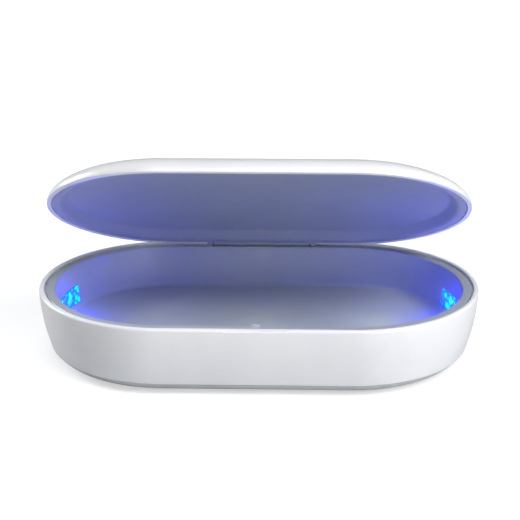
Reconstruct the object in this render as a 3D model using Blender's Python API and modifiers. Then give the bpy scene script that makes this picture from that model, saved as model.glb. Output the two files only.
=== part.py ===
"""Capsule-shaped UV sterilizer box: a tapered white body with a grey-blue tray inside,
UV lamps behind a curved lens at each end of the tray, and a domed lid on a rear hinge.

Metres, +Z up. The origin is the middle of the flat pad that the box stands on, +X runs along
the box and +Y points to the hinge. The lid is modelled shut and turned open about its hinge.
"""
import math

import bmesh
import bpy
from mathutils import Matrix, Vector

OBJECT_NAME = "uv_sterilizer_box"

# Plan of the box: a straight middle and round ends, measured at the body's rim.
STRAIGHT_HALF = 0.043
END_RADIUS = 0.063
END_STEPS = 20

# Body housing.
RIM_TOP = 0.0345
WALL_BOTTOM = 0.006
WALL_TUCK = 0.0049
WALL_CURVE = 1.9
WALL_THICKNESS = 0.0024
WALL_ROWS = 7
RIM_FILLET = 0.0012
RIM_INNER_FILLET = 0.0004
LEDGE_WIDTH = 0.0022
LEDGE_HEIGHT = 0.0026
RECESS_WIDTH = 0.028
RECESS_DEPTH = 0.0007
RECESS_HEIGHT = 0.0009

# Base cover and the pad under it.
COVER_GAP = 0.0003
COVER_EDGE_INSET = 0.0004
COVER_FOOT_INSET = 0.0126
COVER_FOOT_HEIGHT = 0.0005
COVER_THICKNESS = 0.0018
COVER_LIP_CLEARANCE = 0.0005
COVER_LIP_WIDTH = 0.0012
COVER_LIP_HEIGHT = 0.0009
COVER_SHOULDER_SHARES = ((0.16, 0.72), (0.55, 0.28))
PAD_THICKNESS = 0.0006
PAD_INSET = 0.015
PAD_RECESS_DEPTH = 0.0004
PAD_EDGE_GAP = 0.0003

# Tray that lines the body.
FLANGE_SET_BACK = 0.0008
FLANGE_GROOVE = 0.0009
FLANGE_INNER_INSET = 0.0076
FLANGE_FILLET = 0.0005
TRAY_FLOOR = 0.013
TRAY_WALL = 0.0016
TRAY_DRAFT = 0.11
TRAY_FILLET = 0.0026

# Window, lens and lamps at each end of the tray.
WINDOW_HALF_ANGLE = math.radians(26)
WINDOW_BOTTOM = 0.0144
WINDOW_TOP = 0.0237
WINDOW_STEPS = 10
LENS_THICKNESS = 0.001
LENS_GAP = 0.0003
REFLECTOR_INSET = 0.0066
REFLECTOR_THICKNESS = 0.0008
LAMP_BOARD_INSET = 0.0055
LAMP_BOARD_THICKNESS = 0.0008
LAMP_SIZE = 0.0034
LAMP_BASE = 0.0005
LAMP_LENS_SIZE = 0.0022
LAMP_LENS_HEIGHT = 0.0003
LAMP_GAP = 0.0003
LAMP_ANGLES = tuple(math.radians(a) for a in (-18, -6, 6, 18))

# Small window and sensor at the front of the tray that tell when the lid is shut.
SENSOR_WINDOW_LENGTH = 0.005
SENSOR_WINDOW_WIDTH = 0.0024
SENSOR_WINDOW_INSET = 0.0065
SENSOR_WINDOW_RISE = 0.0004
SENSOR_WINDOW_SINK = 0.0006
SENSOR_SIZE = (0.004, 0.0009, 0.0032)
SENSOR_INSET = 0.0054
SENSOR_DROP = 0.0003

# Hinge.
HINGE_INSET = 0.004
HINGE_RISE = 0.0007
BARREL_RADIUS = 0.0021
BARREL_HALF = 0.0248
BARREL_CLEARANCE = 0.0003
LUG_GAP = 0.001
LUG_WIDTH = 0.0026
LUG_FOOT_SHARES = (0.8, 0.35)
PIN_RADIUS = 0.001
PIN_CLEARANCE = 0.0001
PIN_END_SET_BACK = 0.0003
WEB_HEIGHT = 0.0018
WEB_REACH = 0.0034
LID_OPEN_ANGLE = math.radians(34)

# Lid.
LID_SEAT_GAP = 0.0003
LID_RIM_CLEARANCE = 0.0012
LID_EDGE_RUN = 0.05
LID_EDGE_RISE = 0.0155
LID_SKIRT = 0.0006
LID_WALL = 0.0023
LID_ROWS = 10
LINER_GROOVE = 0.0006
LINER_RIM_LIFT = 0.0003
LINER_THICKNESS = 0.0012
LINER_OUTLINE_SHARES = ((0.0, 0.138), (0.064, 0.241), (0.098, 0.368), (0.14, 0.506), (0.191, 0.609),
                        (0.3, 0.72), (0.552, 0.885), (1.0, 1.0))
LINER_DEPTH = 0.0087

# Main board and what it carries.
BOARD_LENGTH = 0.064
BOARD_DEPTH = 0.03
BOARD_THICKNESS = 0.0012
BOARD_REAR_INSET = 0.01
BOARD_BOTTOM = 0.0062
PART_GAP = 0.0003
PORT_X = 0.0
PORT_WIDTH = 0.0089
PORT_HEIGHT = 0.0032
PORT_DEPTH = 0.0073
PORT_WALL = 0.0003
PORT_CLEARANCE = 0.00035
PORT_SET_BACK = 0.0004
TONGUE_WIDTH = 0.0067
TONGUE_HEIGHT = 0.0007
TONGUE_SHARE = 0.8
BUTTON_X = -0.024
BUTTON_WIDTH = 0.012
BUTTON_HEIGHT = 0.0034
BUTTON_CLEARANCE = 0.0003
BUTTON_PROUD = 0.0008
BUTTON_FLANGE = 0.0003
BUTTON_FLANGE_THICKNESS = 0.0011
BUTTON_SEAT_GAP = 0.0004
BUTTON_EDGE = 0.0004
SWITCH_SIZE = (0.006, 0.0035, 0.0032)
SWITCH_GAP = 0.0009
SWITCH_PLUNGER_RADIUS = 0.0009
SWITCH_PLUNGER_LENGTH = 0.0005
LIGHT_X = -0.012
LIGHT_RADIUS = 0.001
LIGHT_CLEARANCE = 0.0003
LIGHT_SET_BACK = 0.0001
LIGHT_LENGTH = 0.0055
STATUS_LAMP_SIZE = (0.0016, 0.0008, 0.002)
CHIP_SIZE = (0.009, 0.009, 0.0012)
CHIP_X = 0.012
PLUG_SIZE = (0.004, 0.006, 0.0028)
PLUG_INSET = 0.0008
PLUG_FRONT_INSET = 0.011

# Fasteners.
COVER_SCREW_END_REACH = 0.019
COVER_SCREW_SIDE_INSET = 0.033
COVER_BOSS_RADIUS = 0.0032
COVER_SCREW_RADIUS = 0.0012
COVER_HEAD_RADIUS = 0.0026
COVER_HEAD_HEIGHT = 0.0012
COVER_SCREW_LENGTH = 0.007
BOARD_SCREW_END_INSET = 0.005
BOARD_SCREW_FRONT_INSET = 0.004
BOARD_BOSS_RADIUS = 0.0024
BOARD_SCREW_RADIUS = 0.0008
BOARD_HEAD_RADIUS = 0.0016
BOARD_HEAD_HEIGHT = 0.0011
BOARD_SCREW_LENGTH = 0.0042
SCREW_CLEARANCE = 0.0003
SCREW_STEPS = 12

# Lamp cables, from the main board under the tray to each lamp board.
CABLE_RADIUS = 0.0006
CABLE_END_ANGLE = math.radians(9)
CABLE_LOW_LIFT = 0.0012
CABLE_ROUND_SHARES = ((0.15, 0.6), (0.42, 0.3), (0.75, 0.1))
CABLE_INSET = 0.0096
CABLE_GAP = 0.0004
CABLE_POINTS = 12

OVERRUN = 0.004
CAP_SHARE = 1.001
ROUND_STEPS = 20
ARC_STEPS = 3

# Places that follow from the sizes above.
FLANGE_TOP = RIM_TOP - FLANGE_SET_BACK
FLANGE_BOTTOM = FLANGE_TOP - TRAY_WALL
FLANGE_OUTER_INSET = WALL_THICKNESS + FLANGE_GROOVE
LEDGE_TOP = FLANGE_BOTTOM - COVER_GAP
TRAY_BOTTOM = TRAY_FLOOR - TRAY_WALL
LID_BOTTOM = FLANGE_TOP + LID_SEAT_GAP
LID_INSET = WALL_THICKNESS + LID_RIM_CLEARANCE
HINGE_Y = END_RADIUS - HINGE_INSET
HINGE_Z = RIM_TOP + HINGE_RISE
BOARD_TOP = BOARD_BOTTOM + BOARD_THICKNESS
BOARD_REAR = END_RADIUS - BOARD_REAR_INSET
BOARD_FRONT = BOARD_REAR - BOARD_DEPTH
BOARD_SCREW_X = BOARD_LENGTH / 2 - BOARD_SCREW_END_INSET
BOARD_SCREW_Y = BOARD_FRONT + BOARD_SCREW_FRONT_INSET
PLUG_Y = BOARD_FRONT + PLUG_FRONT_INSET
COVER_SCREW_X = STRAIGHT_HALF + COVER_SCREW_END_REACH
COVER_SCREW_Y = END_RADIUS - COVER_SCREW_SIDE_INSET
PORT_Z = BOARD_TOP + PART_GAP + PORT_HEIGHT / 2
LAMP_Z = (WINDOW_BOTTOM + WINDOW_TOP) / 2
LUG_START = BARREL_HALF + LUG_GAP
LUG_END = LUG_START + LUG_WIDTH
COVER_INNER_FLOOR = COVER_FOOT_HEIGHT + PAD_RECESS_DEPTH + COVER_THICKNESS
SIDES = (("left", -1), ("right", 1))


def clear_scene():
    """Remove whatever the file holds."""
    for item in list(bpy.data.objects):
        bpy.data.objects.remove(item, do_unlink=True)


def make_collection(name):
    """Make a collection in the scene."""
    group = bpy.data.collections.new(name)
    bpy.context.scene.collection.children.link(group)
    return group


def make_material(name, colour, roughness, metallic=0.0, alpha=1.0):
    """Make a Principled material."""
    material = bpy.data.materials.new(name)
    material.use_nodes = True
    shader = material.node_tree.nodes["Principled BSDF"]
    shader.inputs["Base Color"].default_value = (*colour, 1.0)
    shader.inputs["Roughness"].default_value = roughness
    shader.inputs["Metallic"].default_value = metallic
    shader.inputs["Alpha"].default_value = alpha
    material.diffuse_color = (*colour, alpha)
    return material


def finish_mesh(name, bm, group, material=None, sharp=math.radians(35)):
    """Turn a bmesh into a named object in a collection."""
    bmesh.ops.recalc_face_normals(bm, faces=bm.faces)
    mesh = bpy.data.meshes.new(name)
    bm.to_mesh(mesh)
    bm.free()
    mesh.shade_smooth()
    mesh.set_sharp_from_angle(angle=sharp)
    item = bpy.data.objects.new(name, mesh)
    if material:
        mesh.materials.append(material)
    group.objects.link(item)
    return item


def as_tool(item):
    """Mark an object as a cutter or a guide."""
    item.hide_render = True
    item.display_type = "WIRE"
    return item


def combine(item, tool, operation):
    """Cut an object with a tool or join the tool to it."""
    change = item.modifiers.new(f"{operation.lower()}_{tool.name}", "BOOLEAN")
    change.object = tool
    change.operation = operation
    change.solver = "EXACT"


def arc(centre, radius, start, end, steps=ARC_STEPS):
    """Points of an arc in a profile, from one angle in degrees to another."""
    turn = [math.radians(start + (end - start) * k / steps) for k in range(steps + 1)]
    return [(centre[0] + radius * math.cos(a), centre[1] + radius * math.sin(a)) for a in turn]


def spin_edges(bm, edges, centre, angle, steps):
    """Turn edges about a vertical axis and return the last ones."""
    turned = bmesh.ops.spin(bm, geom=edges, cent=centre, axis=(0, 0, 1), angle=angle, steps=steps)
    return [e for e in turned["geom_last"] if isinstance(e, bmesh.types.BMEdge)]


def close_and_cap(bm, merge, reach=math.inf):
    """Join the seam and cap the open loops that lie within a reach of the middle."""
    bmesh.ops.remove_doubles(bm, verts=bm.verts, dist=merge)
    rims = [e for e in bm.edges if e.is_boundary and all(abs(v.co.y) < reach for v in e.verts)]
    if rims:
        bmesh.ops.holes_fill(bm, edges=rims, sides=0)


def sweep_round(name, profile, group, material=None, closed=True, thickness=0.0):
    """Carry a profile of (inset, height) points once round the capsule plan.

    A closed profile makes a ring. An open one without a thickness is closed by a flat face at each
    end. With a thickness only its inner end is closed, and the skin then gets its wall by Solidify.
    """
    bm = bmesh.new()
    row = [bm.verts.new((STRAIGHT_HALF, inset - END_RADIUS, z)) for inset, z in profile]
    edges = [bm.edges.new(pair) for pair in zip(row, row[1:])]
    if closed:
        edges.append(bm.edges.new((row[-1], row[0])))
    for side in (1, -1):
        edges = spin_edges(bm, edges, (side * STRAIGHT_HALF, 0, 0), math.pi, END_STEPS)
        run = bmesh.ops.extrude_edge_only(bm, edges=edges)["geom"]
        ends = {v for v in run if isinstance(v, bmesh.types.BMVert)}
        edges = [e for e in run if isinstance(e, bmesh.types.BMEdge) and set(e.verts) <= ends]
        bmesh.ops.translate(bm, verts=list(ends), vec=(-2 * side * STRAIGHT_HALF, 0, 0))
    last_reach = END_RADIUS - profile[-1][0]
    close_and_cap(bm, STRAIGHT_HALF / 10000, last_reach * CAP_SHARE if thickness else math.inf)
    item = finish_mesh(name, bm, group, material)
    if thickness:
        wall = item.modifiers.new("wall", "SOLIDIFY")
        wall.thickness = thickness
        wall.offset = -1
        wall.use_even_offset = True
    return item


def sweep_end(name, side, profile, half_angle, steps, group, material=None):
    """Carry a closed (inset, height) profile along part of one round end."""
    bm = bmesh.new()
    row = [bm.verts.new((STRAIGHT_HALF + END_RADIUS - inset, 0, z)) for inset, z in profile]
    edges = [bm.edges.new(pair) for pair in zip(row, row[1:] + row[:1])]
    centre = (STRAIGHT_HALF, 0, 0)
    bmesh.ops.rotate(bm, verts=row, cent=centre, matrix=Matrix.Rotation(-half_angle, 3, "Z"))
    spin_edges(bm, edges, centre, 2 * half_angle, steps)
    close_and_cap(bm, STRAIGHT_HALF / 10000)
    if side < 0:
        bmesh.ops.rotate(bm, verts=bm.verts, cent=(0, 0, 0), matrix=Matrix.Rotation(math.pi, 3, "Z"))
    return finish_mesh(name, bm, group, material)


def block(name, low, high, group, material=None, turn=0.0, bevel=0.0):
    """Box between two corners, turned about the vertical axis through the world's origin."""
    bm = bmesh.new()
    bmesh.ops.create_cube(bm, size=1.0)
    size = Vector(high) - Vector(low)
    bmesh.ops.scale(bm, verts=bm.verts, vec=size)
    bmesh.ops.translate(bm, verts=bm.verts, vec=Vector(low) + size / 2)
    if bevel:
        bmesh.ops.bevel(bm, geom=bm.edges[:], offset=bevel, segments=1, affect="EDGES")
    bmesh.ops.rotate(bm, verts=bm.verts, cent=(0, 0, 0), matrix=Matrix.Rotation(turn, 3, "Z"))
    return finish_mesh(name, bm, group, material)


def rod(name, start, end, radius, group, material=None, steps=ROUND_STEPS):
    """Cylinder between two points."""
    bm = bmesh.new()
    way = Vector(end) - Vector(start)
    turn = way.to_track_quat("Z", "Y").to_matrix().to_4x4()
    place = Matrix.Translation((Vector(start) + Vector(end)) / 2) @ turn
    bmesh.ops.create_cone(bm, cap_ends=True, segments=steps, radius1=radius, radius2=radius,
                          depth=way.length, matrix=place)
    return finish_mesh(name, bm, group, material)


def pill(name, x, z, width, height, rear, front, group, material=None):
    """Bar of pill section along Y, made by drawing the two halves of a round bar apart."""
    bm = bmesh.new()
    turn = Matrix.Translation((x, (rear + front) / 2, z)) @ Matrix.Rotation(math.pi / 2, 4, "X")
    bmesh.ops.create_cone(bm, cap_ends=True, segments=ROUND_STEPS, radius1=height / 2,
                          radius2=height / 2, depth=abs(front - rear), matrix=turn)
    shift = (width - height) / 2
    for side in (1, -1):
        half = [v for v in bm.verts if (v.co.x - x) * side > height / 10000]
        bmesh.ops.translate(bm, verts=half, vec=(side * shift, 0, 0))
    return finish_mesh(name, bm, group, material)


def screw(name, place, shank, head, head_height, length, group, material):
    """Screw that points up, turned from its outline, with its head at the bottom."""
    outline = ((0, length), (shank, length), (shank, 0), (head, 0), (head, -head_height), (0, -head_height))
    mesh = bpy.data.meshes.new(name)
    mesh.from_pydata([(r, 0, z) for r, z in outline], [(k, k + 1) for k in range(len(outline) - 1)], [])
    mesh.materials.append(material)
    item = bpy.data.objects.new(name, mesh)
    group.objects.link(item)
    item.location = place
    turn = item.modifiers.new("turn", "SCREW")
    turn.steps = SCREW_STEPS
    turn.render_steps = SCREW_STEPS
    turn.use_merge_vertices = True
    turn.merge_threshold = shank / 1000
    return item


def wall_inset(z):
    """How far the housing's outer wall is tucked in at a height."""
    drop = (RIM_TOP - z) / (RIM_TOP - WALL_BOTTOM)
    return WALL_TUCK * drop ** WALL_CURVE


def tray_inset(z):
    """How far the tray's inner wall stands in at a height."""
    return FLANGE_INNER_INSET + TRAY_DRAFT * (FLANGE_TOP - z)


def rear_wall(z):
    """Y of the housing's outer wall at the back."""
    return END_RADIUS - wall_inset(z)


def housing_profile():
    """Section of the body housing: wall, rounded rim and the ledge that carries the tray."""
    top = RIM_TOP - RIM_FILLET
    rows = [WALL_BOTTOM + (top - WALL_BOTTOM) * k / WALL_ROWS for k in range(WALL_ROWS + 1)]
    outer = [(wall_inset(z), z) for z in rows]
    rim = arc((RIM_FILLET + outer[-1][0], top), RIM_FILLET, 180, 90)[1:]
    corner = (WALL_THICKNESS - RIM_INNER_FILLET, RIM_TOP - RIM_INNER_FILLET)
    inner_edge = arc(corner, RIM_INNER_FILLET, 90, 0, 2)
    ledge = [(WALL_THICKNESS, LEDGE_TOP), (WALL_THICKNESS + LEDGE_WIDTH, LEDGE_TOP),
             (WALL_THICKNESS + LEDGE_WIDTH, LEDGE_TOP - LEDGE_WIDTH / 2)]
    low = LEDGE_TOP - LEDGE_HEIGHT - LEDGE_WIDTH / 2
    inner_rows = [low + (WALL_BOTTOM - low) * k / WALL_ROWS for k in range(WALL_ROWS + 1)]
    inner = [(wall_inset(z) + WALL_THICKNESS, z) for z in inner_rows]
    return outer + rim + inner_edge + ledge + inner


def cover_profile():
    """Section of the base cover: sloped side, foot, pad recess, inner floor and lip."""
    top = WALL_BOTTOM - COVER_GAP
    edge = WALL_TUCK + COVER_EDGE_INSET
    drop = top - COVER_FOOT_HEIGHT
    run = COVER_FOOT_INSET - edge
    side = [(edge, top)] + [(edge + run * a, COVER_FOOT_HEIGHT + drop * b) for a, b in COVER_SHOULDER_SHARES]
    foot = [(COVER_FOOT_INSET, COVER_FOOT_HEIGHT), (PAD_INSET - PAD_EDGE_GAP, COVER_FOOT_HEIGHT),
            (PAD_INSET - PAD_EDGE_GAP, COVER_FOOT_HEIGHT + PAD_RECESS_DEPTH)]
    lip = WALL_TUCK + WALL_THICKNESS + COVER_LIP_CLEARANCE
    inside = [(COVER_FOOT_INSET + COVER_THICKNESS / 2, COVER_INNER_FLOOR),
              (lip + COVER_LIP_WIDTH, top - drop / 3),
              (lip + COVER_LIP_WIDTH, top + COVER_LIP_HEIGHT), (lip, top + COVER_LIP_HEIGHT), (lip, top)]
    return [*reversed(foot), *reversed(side), *reversed(inside)]


def tray_profile():
    """Outline of the tray's inside: flange, drafted wall and rounded floor."""
    corner = (tray_inset(TRAY_FLOOR) + TRAY_FILLET, TRAY_FLOOR + TRAY_FILLET)
    floor = arc(corner, TRAY_FILLET, 180, 270)
    return [(FLANGE_OUTER_INSET, FLANGE_TOP), (FLANGE_INNER_INSET, FLANGE_TOP), *floor]


def round_edge(item, inset, width):
    """Round the edges that run round the box at an inset."""
    weights = item.data.attributes.new("bevel_weight_edge", "FLOAT", "EDGE")
    points = [v.co for v in item.data.vertices]
    insets = [END_RADIUS - math.hypot(max(abs(p.x) - STRAIGHT_HALF, 0), p.y) for p in points]
    for edge in item.data.edges:
        on_line = all(abs(insets[v] - inset) < width / 100 for v in edge.vertices)
        weights.data[edge.index].value = 1.0 if on_line else 0.0
    soften = item.modifiers.new("round_edge", "BEVEL")
    soften.width = width
    soften.segments = 2
    soften.limit_method = "WEIGHT"


def lid_profile():
    """Outline of the lid's outside: a short upright skirt, then a side that rounds into the top."""
    steps = [math.radians(90 * k / LID_ROWS) for k in range(LID_ROWS + 1)]
    foot = LID_BOTTOM + LID_SKIRT
    side = [(LID_INSET + LID_EDGE_RUN * (1 - math.cos(a)), foot + LID_EDGE_RISE * math.sin(a)) for a in steps]
    return [(LID_INSET, LID_BOTTOM), *side]


def liner_profile():
    """Outline of the lid liner's hidden side: a flat rim, a sloping band and a shallow panel."""
    rim = LID_INSET + LID_WALL + LINER_GROOVE
    run = LID_INSET + LID_EDGE_RUN - rim
    bottom = LID_BOTTOM + LINER_RIM_LIFT
    return [(rim + run * a, bottom + LINER_DEPTH * b) for a, b in LINER_OUTLINE_SHARES]


def place_on_end(side, angle, inset, z):
    """Point on a round end, at an angle from the end's middle, measured the same way on both."""
    reach = END_RADIUS - inset
    return Vector((side * (STRAIGHT_HALF + reach * math.cos(angle)), reach * math.sin(angle), z))


def make_housing(group, tools, looks):
    """White body housing with its finger recess, socket, button and light holes."""
    housing = sweep_round("lower_housing", housing_profile(), group, looks["white"])
    recess = block("recess_cutter", (-RECESS_WIDTH / 2, -END_RADIUS - OVERRUN, RIM_TOP - RECESS_HEIGHT),
                   (RECESS_WIDTH / 2, -END_RADIUS + RECESS_DEPTH, RIM_TOP + OVERRUN), tools)
    inner, outer = HINGE_Y - 2 * OVERRUN, END_RADIUS + OVERRUN
    port = pill("port_cutter", PORT_X, PORT_Z, PORT_WIDTH + 2 * PORT_CLEARANCE,
                PORT_HEIGHT + 2 * PORT_CLEARANCE, inner, outer, tools)
    button = pill("button_cutter", BUTTON_X, PORT_Z, BUTTON_WIDTH + 2 * BUTTON_CLEARANCE,
                  BUTTON_HEIGHT + 2 * BUTTON_CLEARANCE, inner, outer, tools)
    light = rod("light_cutter", (LIGHT_X, inner, PORT_Z), (LIGHT_X, outer, PORT_Z),
                LIGHT_RADIUS + LIGHT_CLEARANCE, tools)
    reach = LUG_END + BARREL_CLEARANCE
    hinge = rod("rim_notch_cutter", (-reach, HINGE_Y, HINGE_Z), (reach, HINGE_Y, HINGE_Z),
                BARREL_RADIUS + BARREL_CLEARANCE, tools)
    for tool in (recess, port, button, light, hinge):
        combine(housing, as_tool(tool), "DIFFERENCE")
    return housing


def make_base(group, tools, looks):
    """Grey base cover, the screws through it and the pad that hides them."""
    cover = sweep_round("base_cover", cover_profile(), group, looks["base_grey"], closed=False)
    pad_rows = [(PAD_INSET, PAD_THICKNESS), (PAD_INSET, 0)]
    sweep_round("anti_slip_pad", pad_rows, group, looks["silicone"], closed=False)
    seat = COVER_FOOT_HEIGHT + PAD_RECESS_DEPTH + COVER_HEAD_HEIGHT
    spots = [(x * COVER_SCREW_X, y * COVER_SCREW_Y) for x in (-1, 1) for y in (-1, 1)]
    for number, (x, y) in enumerate(spots, 1):
        screw(f"base_screw_{number}", (x, y, seat), COVER_SCREW_RADIUS - SCREW_CLEARANCE,
              COVER_HEAD_RADIUS, COVER_HEAD_HEIGHT, COVER_SCREW_LENGTH, group, looks["steel"])
        head = rod(f"head_cutter_{number}", (x, y, -OVERRUN), (x, y, seat + SCREW_CLEARANCE),
                   COVER_HEAD_RADIUS + SCREW_CLEARANCE, tools)
        hole = rod(f"hole_cutter_{number}", (x, y, -OVERRUN), (x, y, COVER_INNER_FLOOR + OVERRUN),
                   COVER_SCREW_RADIUS, tools)
        for tool in (head, hole):
            combine(cover, as_tool(tool), "DIFFERENCE")
    return spots


def make_tray(group, tools, looks, screw_spots):
    """Grey-blue tray with its lamp windows, hinge lugs, bosses and the sensor window's pocket."""
    tray = sweep_round("liner_tray", tray_profile(), group, looks["liner"], closed=False,
                       thickness=TRAY_WALL)
    round_edge(tray, FLANGE_INNER_INSET, FLANGE_FILLET)
    joins, cuts = [], []
    for label, side in SIDES:
        outline = [(0, WINDOW_BOTTOM), (END_RADIUS / 3, WINDOW_BOTTOM),
                   (END_RADIUS / 3, WINDOW_TOP), (0, WINDOW_TOP)]
        cuts.append(sweep_end(f"window_cutter_{label}", side, outline, WINDOW_HALF_ANGLE,
                              WINDOW_STEPS, tools))
        ends = sorted((side * LUG_START, side * LUG_END))
        joins.append(rod(f"lug_round_{label}", (ends[0], HINGE_Y, HINGE_Z), (ends[1], HINGE_Y, HINGE_Z),
                         BARREL_RADIUS, tools))
        reach, drop = (BARREL_RADIUS * share for share in LUG_FOOT_SHARES)
        rear = END_RADIUS - FLANGE_OUTER_INSET - FLANGE_FILLET
        joins.append(block(f"lug_foot_{label}", (ends[0], HINGE_Y - reach, FLANGE_BOTTOM + FLANGE_FILLET),
                           (ends[1], rear, HINGE_Z - drop), tools))
    reach = LUG_END + OVERRUN
    cuts.append(rod("pin_bore_cutter", (-reach, HINGE_Y, HINGE_Z), (reach, HINGE_Y, HINGE_Z),
                    PIN_RADIUS + PIN_CLEARANCE, tools))
    trough = BARREL_HALF + BARREL_CLEARANCE
    cuts.append(rod("trough_cutter", (-trough, HINGE_Y, HINGE_Z), (trough, HINGE_Y, HINGE_Z),
                    BARREL_RADIUS + BARREL_CLEARANCE, tools))
    for number, (x, y) in enumerate(screw_spots, 1):
        low = COVER_INNER_FLOOR + COVER_GAP
        joins.append(rod(f"cover_boss_{number}", (x, y, low), (x, y, TRAY_BOTTOM + TRAY_WALL / 2),
                         COVER_BOSS_RADIUS, tools))
        cuts.append(rod(f"cover_pilot_{number}", (x, y, low - OVERRUN), (x, y, TRAY_BOTTOM - PART_GAP),
                        COVER_SCREW_RADIUS, tools))
    for label, side in SIDES:
        x, y = side * BOARD_SCREW_X, BOARD_SCREW_Y
        low = BOARD_TOP + PART_GAP
        joins.append(rod(f"board_boss_{label}", (x, y, low), (x, y, TRAY_BOTTOM + TRAY_WALL / 2),
                         BOARD_BOSS_RADIUS, tools))
        cuts.append(rod(f"board_pilot_{label}", (x, y, low - OVERRUN), (x, y, TRAY_BOTTOM - PART_GAP),
                        BOARD_SCREW_RADIUS + SCREW_CLEARANCE, tools))
    cuts.append(oval("pocket_cutter", 2 * SCREW_CLEARANCE, FLANGE_TOP - SENSOR_WINDOW_SINK - PART_GAP,
                     FLANGE_TOP + OVERRUN, tools))
    for tool in joins:
        combine(tray, as_tool(tool), "UNION")
    for tool in cuts:
        combine(tray, as_tool(tool), "DIFFERENCE")
    return tray


def oval(name, growth, low, high, group, material=None):
    """Upright bar of the sensor window's oval section, a little larger by its growth."""
    bm = bmesh.new()
    place = Matrix.Translation((0, SENSOR_WINDOW_INSET - END_RADIUS, (low + high) / 2))
    stretch = Matrix.Diagonal((SENSOR_WINDOW_LENGTH + growth, SENSOR_WINDOW_WIDTH + growth, high - low, 1))
    bmesh.ops.create_cone(bm, cap_ends=True, segments=ROUND_STEPS, radius1=0.5, radius2=0.5, depth=1.0,
                          matrix=place @ stretch)
    return finish_mesh(name, bm, group, material)


def make_sensor(group, looks):
    """Sensor window, an oval with a low dome, and the sensor under the flange."""
    bm = bmesh.new()
    low = FLANGE_TOP - SENSOR_WINDOW_SINK
    place = Matrix.Translation((0, SENSOR_WINDOW_INSET - END_RADIUS, low))
    height = SENSOR_WINDOW_RISE + SENSOR_WINDOW_SINK
    stretch = Matrix.Diagonal((SENSOR_WINDOW_LENGTH, SENSOR_WINDOW_WIDTH, 2 * height, 1))
    bmesh.ops.create_uvsphere(bm, u_segments=ROUND_STEPS, v_segments=ROUND_STEPS // 2, radius=0.5,
                              matrix=place @ stretch)
    bmesh.ops.bisect_plane(bm, geom=bm.verts[:] + bm.edges[:] + bm.faces[:], plane_co=(0, 0, low),
                           plane_no=(0, 0, 1), clear_inner=True)
    close_and_cap(bm, SENSOR_WINDOW_SINK / 1000)
    finish_mesh("lid_sensor_window", bm, group, looks["milky"])
    length, depth, height = SENSOR_SIZE
    y = SENSOR_INSET - END_RADIUS
    top = FLANGE_BOTTOM - SENSOR_DROP
    block("lid_sensor", (-length / 2, y - depth / 2, top - height), (length / 2, y + depth / 2, top),
          group, looks["chip"])


def make_lamps(group, tools, looks):
    """Lens, reflector, lamp board and lamps at each end of the tray."""
    low, high = WINDOW_BOTTOM + LENS_GAP, WINDOW_TOP - LENS_GAP
    lens_angle = WINDOW_HALF_ANGLE - LENS_GAP / (END_RADIUS - FLANGE_INNER_INSET)
    back = REFLECTOR_INSET
    front = REFLECTOR_INSET + REFLECTOR_THICKNESS
    board = (LAMP_BOARD_INSET, LAMP_BOARD_INSET + LAMP_BOARD_THICKNESS)
    for label, side in SIDES:
        lens = [(tray_inset(low) - LENS_THICKNESS, low), (tray_inset(low), low), (tray_inset(high), high),
                (tray_inset(high) - LENS_THICKNESS, high)]
        sweep_end(f"uv_lens_{label}", side, lens, lens_angle, WINDOW_STEPS, group, looks["lens"])
        frame = [(back, low), (front, low), (front, high), (back, high)]
        reflector = sweep_end(f"uv_reflector_{label}", side, frame, lens_angle, WINDOW_STEPS, group,
                              looks["mirror"])
        strip = [(board[0], low), (board[1], low), (board[1], high), (board[0], high)]
        sweep_end(f"uv_lamp_board_{label}", side, strip, lens_angle, WINDOW_STEPS, group, looks["board"])
        for number, angle in enumerate(LAMP_ANGLES, 1):
            make_lamp(f"uv_lamp_{label}_{number}", side, angle, group, looks["lamp"])
            hole = lamp_block(f"lamp_hole_{label}_{number}", side, angle, LAMP_SIZE / 2 + LAMP_GAP,
                              back - LAMP_BOARD_THICKNESS, front + LAMP_BOARD_THICKNESS, tools)
            combine(reflector, as_tool(hole), "DIFFERENCE")


def lamp_block(name, side, angle, half, near, far, group, material=None):
    """Square block on a round end, lying between two insets."""
    bm = bmesh.new()
    bmesh.ops.create_cube(bm, size=1.0)
    bmesh.ops.scale(bm, verts=bm.verts, vec=(far - near, 2 * half, 2 * half))
    place_block(bm, side, angle, (near + far) / 2)
    return finish_mesh(name, bm, group, material)


def place_block(bm, side, angle, inset):
    """Turn a block that faces +X and set it on a round end."""
    heading = angle if side > 0 else math.pi - angle
    bmesh.ops.rotate(bm, verts=bm.verts, cent=(0, 0, 0), matrix=Matrix.Rotation(heading, 3, "Z"))
    bmesh.ops.translate(bm, verts=bm.verts, vec=place_on_end(side, angle, inset, LAMP_Z))


def make_lamp(name, side, angle, group, material):
    """Lamp chip: a square base with a smaller raised lens that faces into the tray."""
    bm = bmesh.new()
    bmesh.ops.create_cube(bm, size=1.0)
    bmesh.ops.scale(bm, verts=bm.verts, vec=(LAMP_BASE, LAMP_SIZE, LAMP_SIZE))
    bm.faces.ensure_lookup_table()
    face = min(bm.faces, key=lambda f: f.calc_center_median().x)
    bmesh.ops.inset_region(bm, faces=[face], thickness=(LAMP_SIZE - LAMP_LENS_SIZE) / 2)
    raised = bmesh.ops.extrude_face_region(bm, geom=[face])["geom"]
    bmesh.ops.translate(bm, verts=[v for v in raised if isinstance(v, bmesh.types.BMVert)],
                        vec=(-LAMP_LENS_HEIGHT, 0, 0))
    bmesh.ops.delete(bm, geom=[face], context="FACES")
    place_block(bm, side, angle, REFLECTOR_INSET + LAMP_BASE / 2)
    return finish_mesh(name, bm, group, material)


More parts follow.
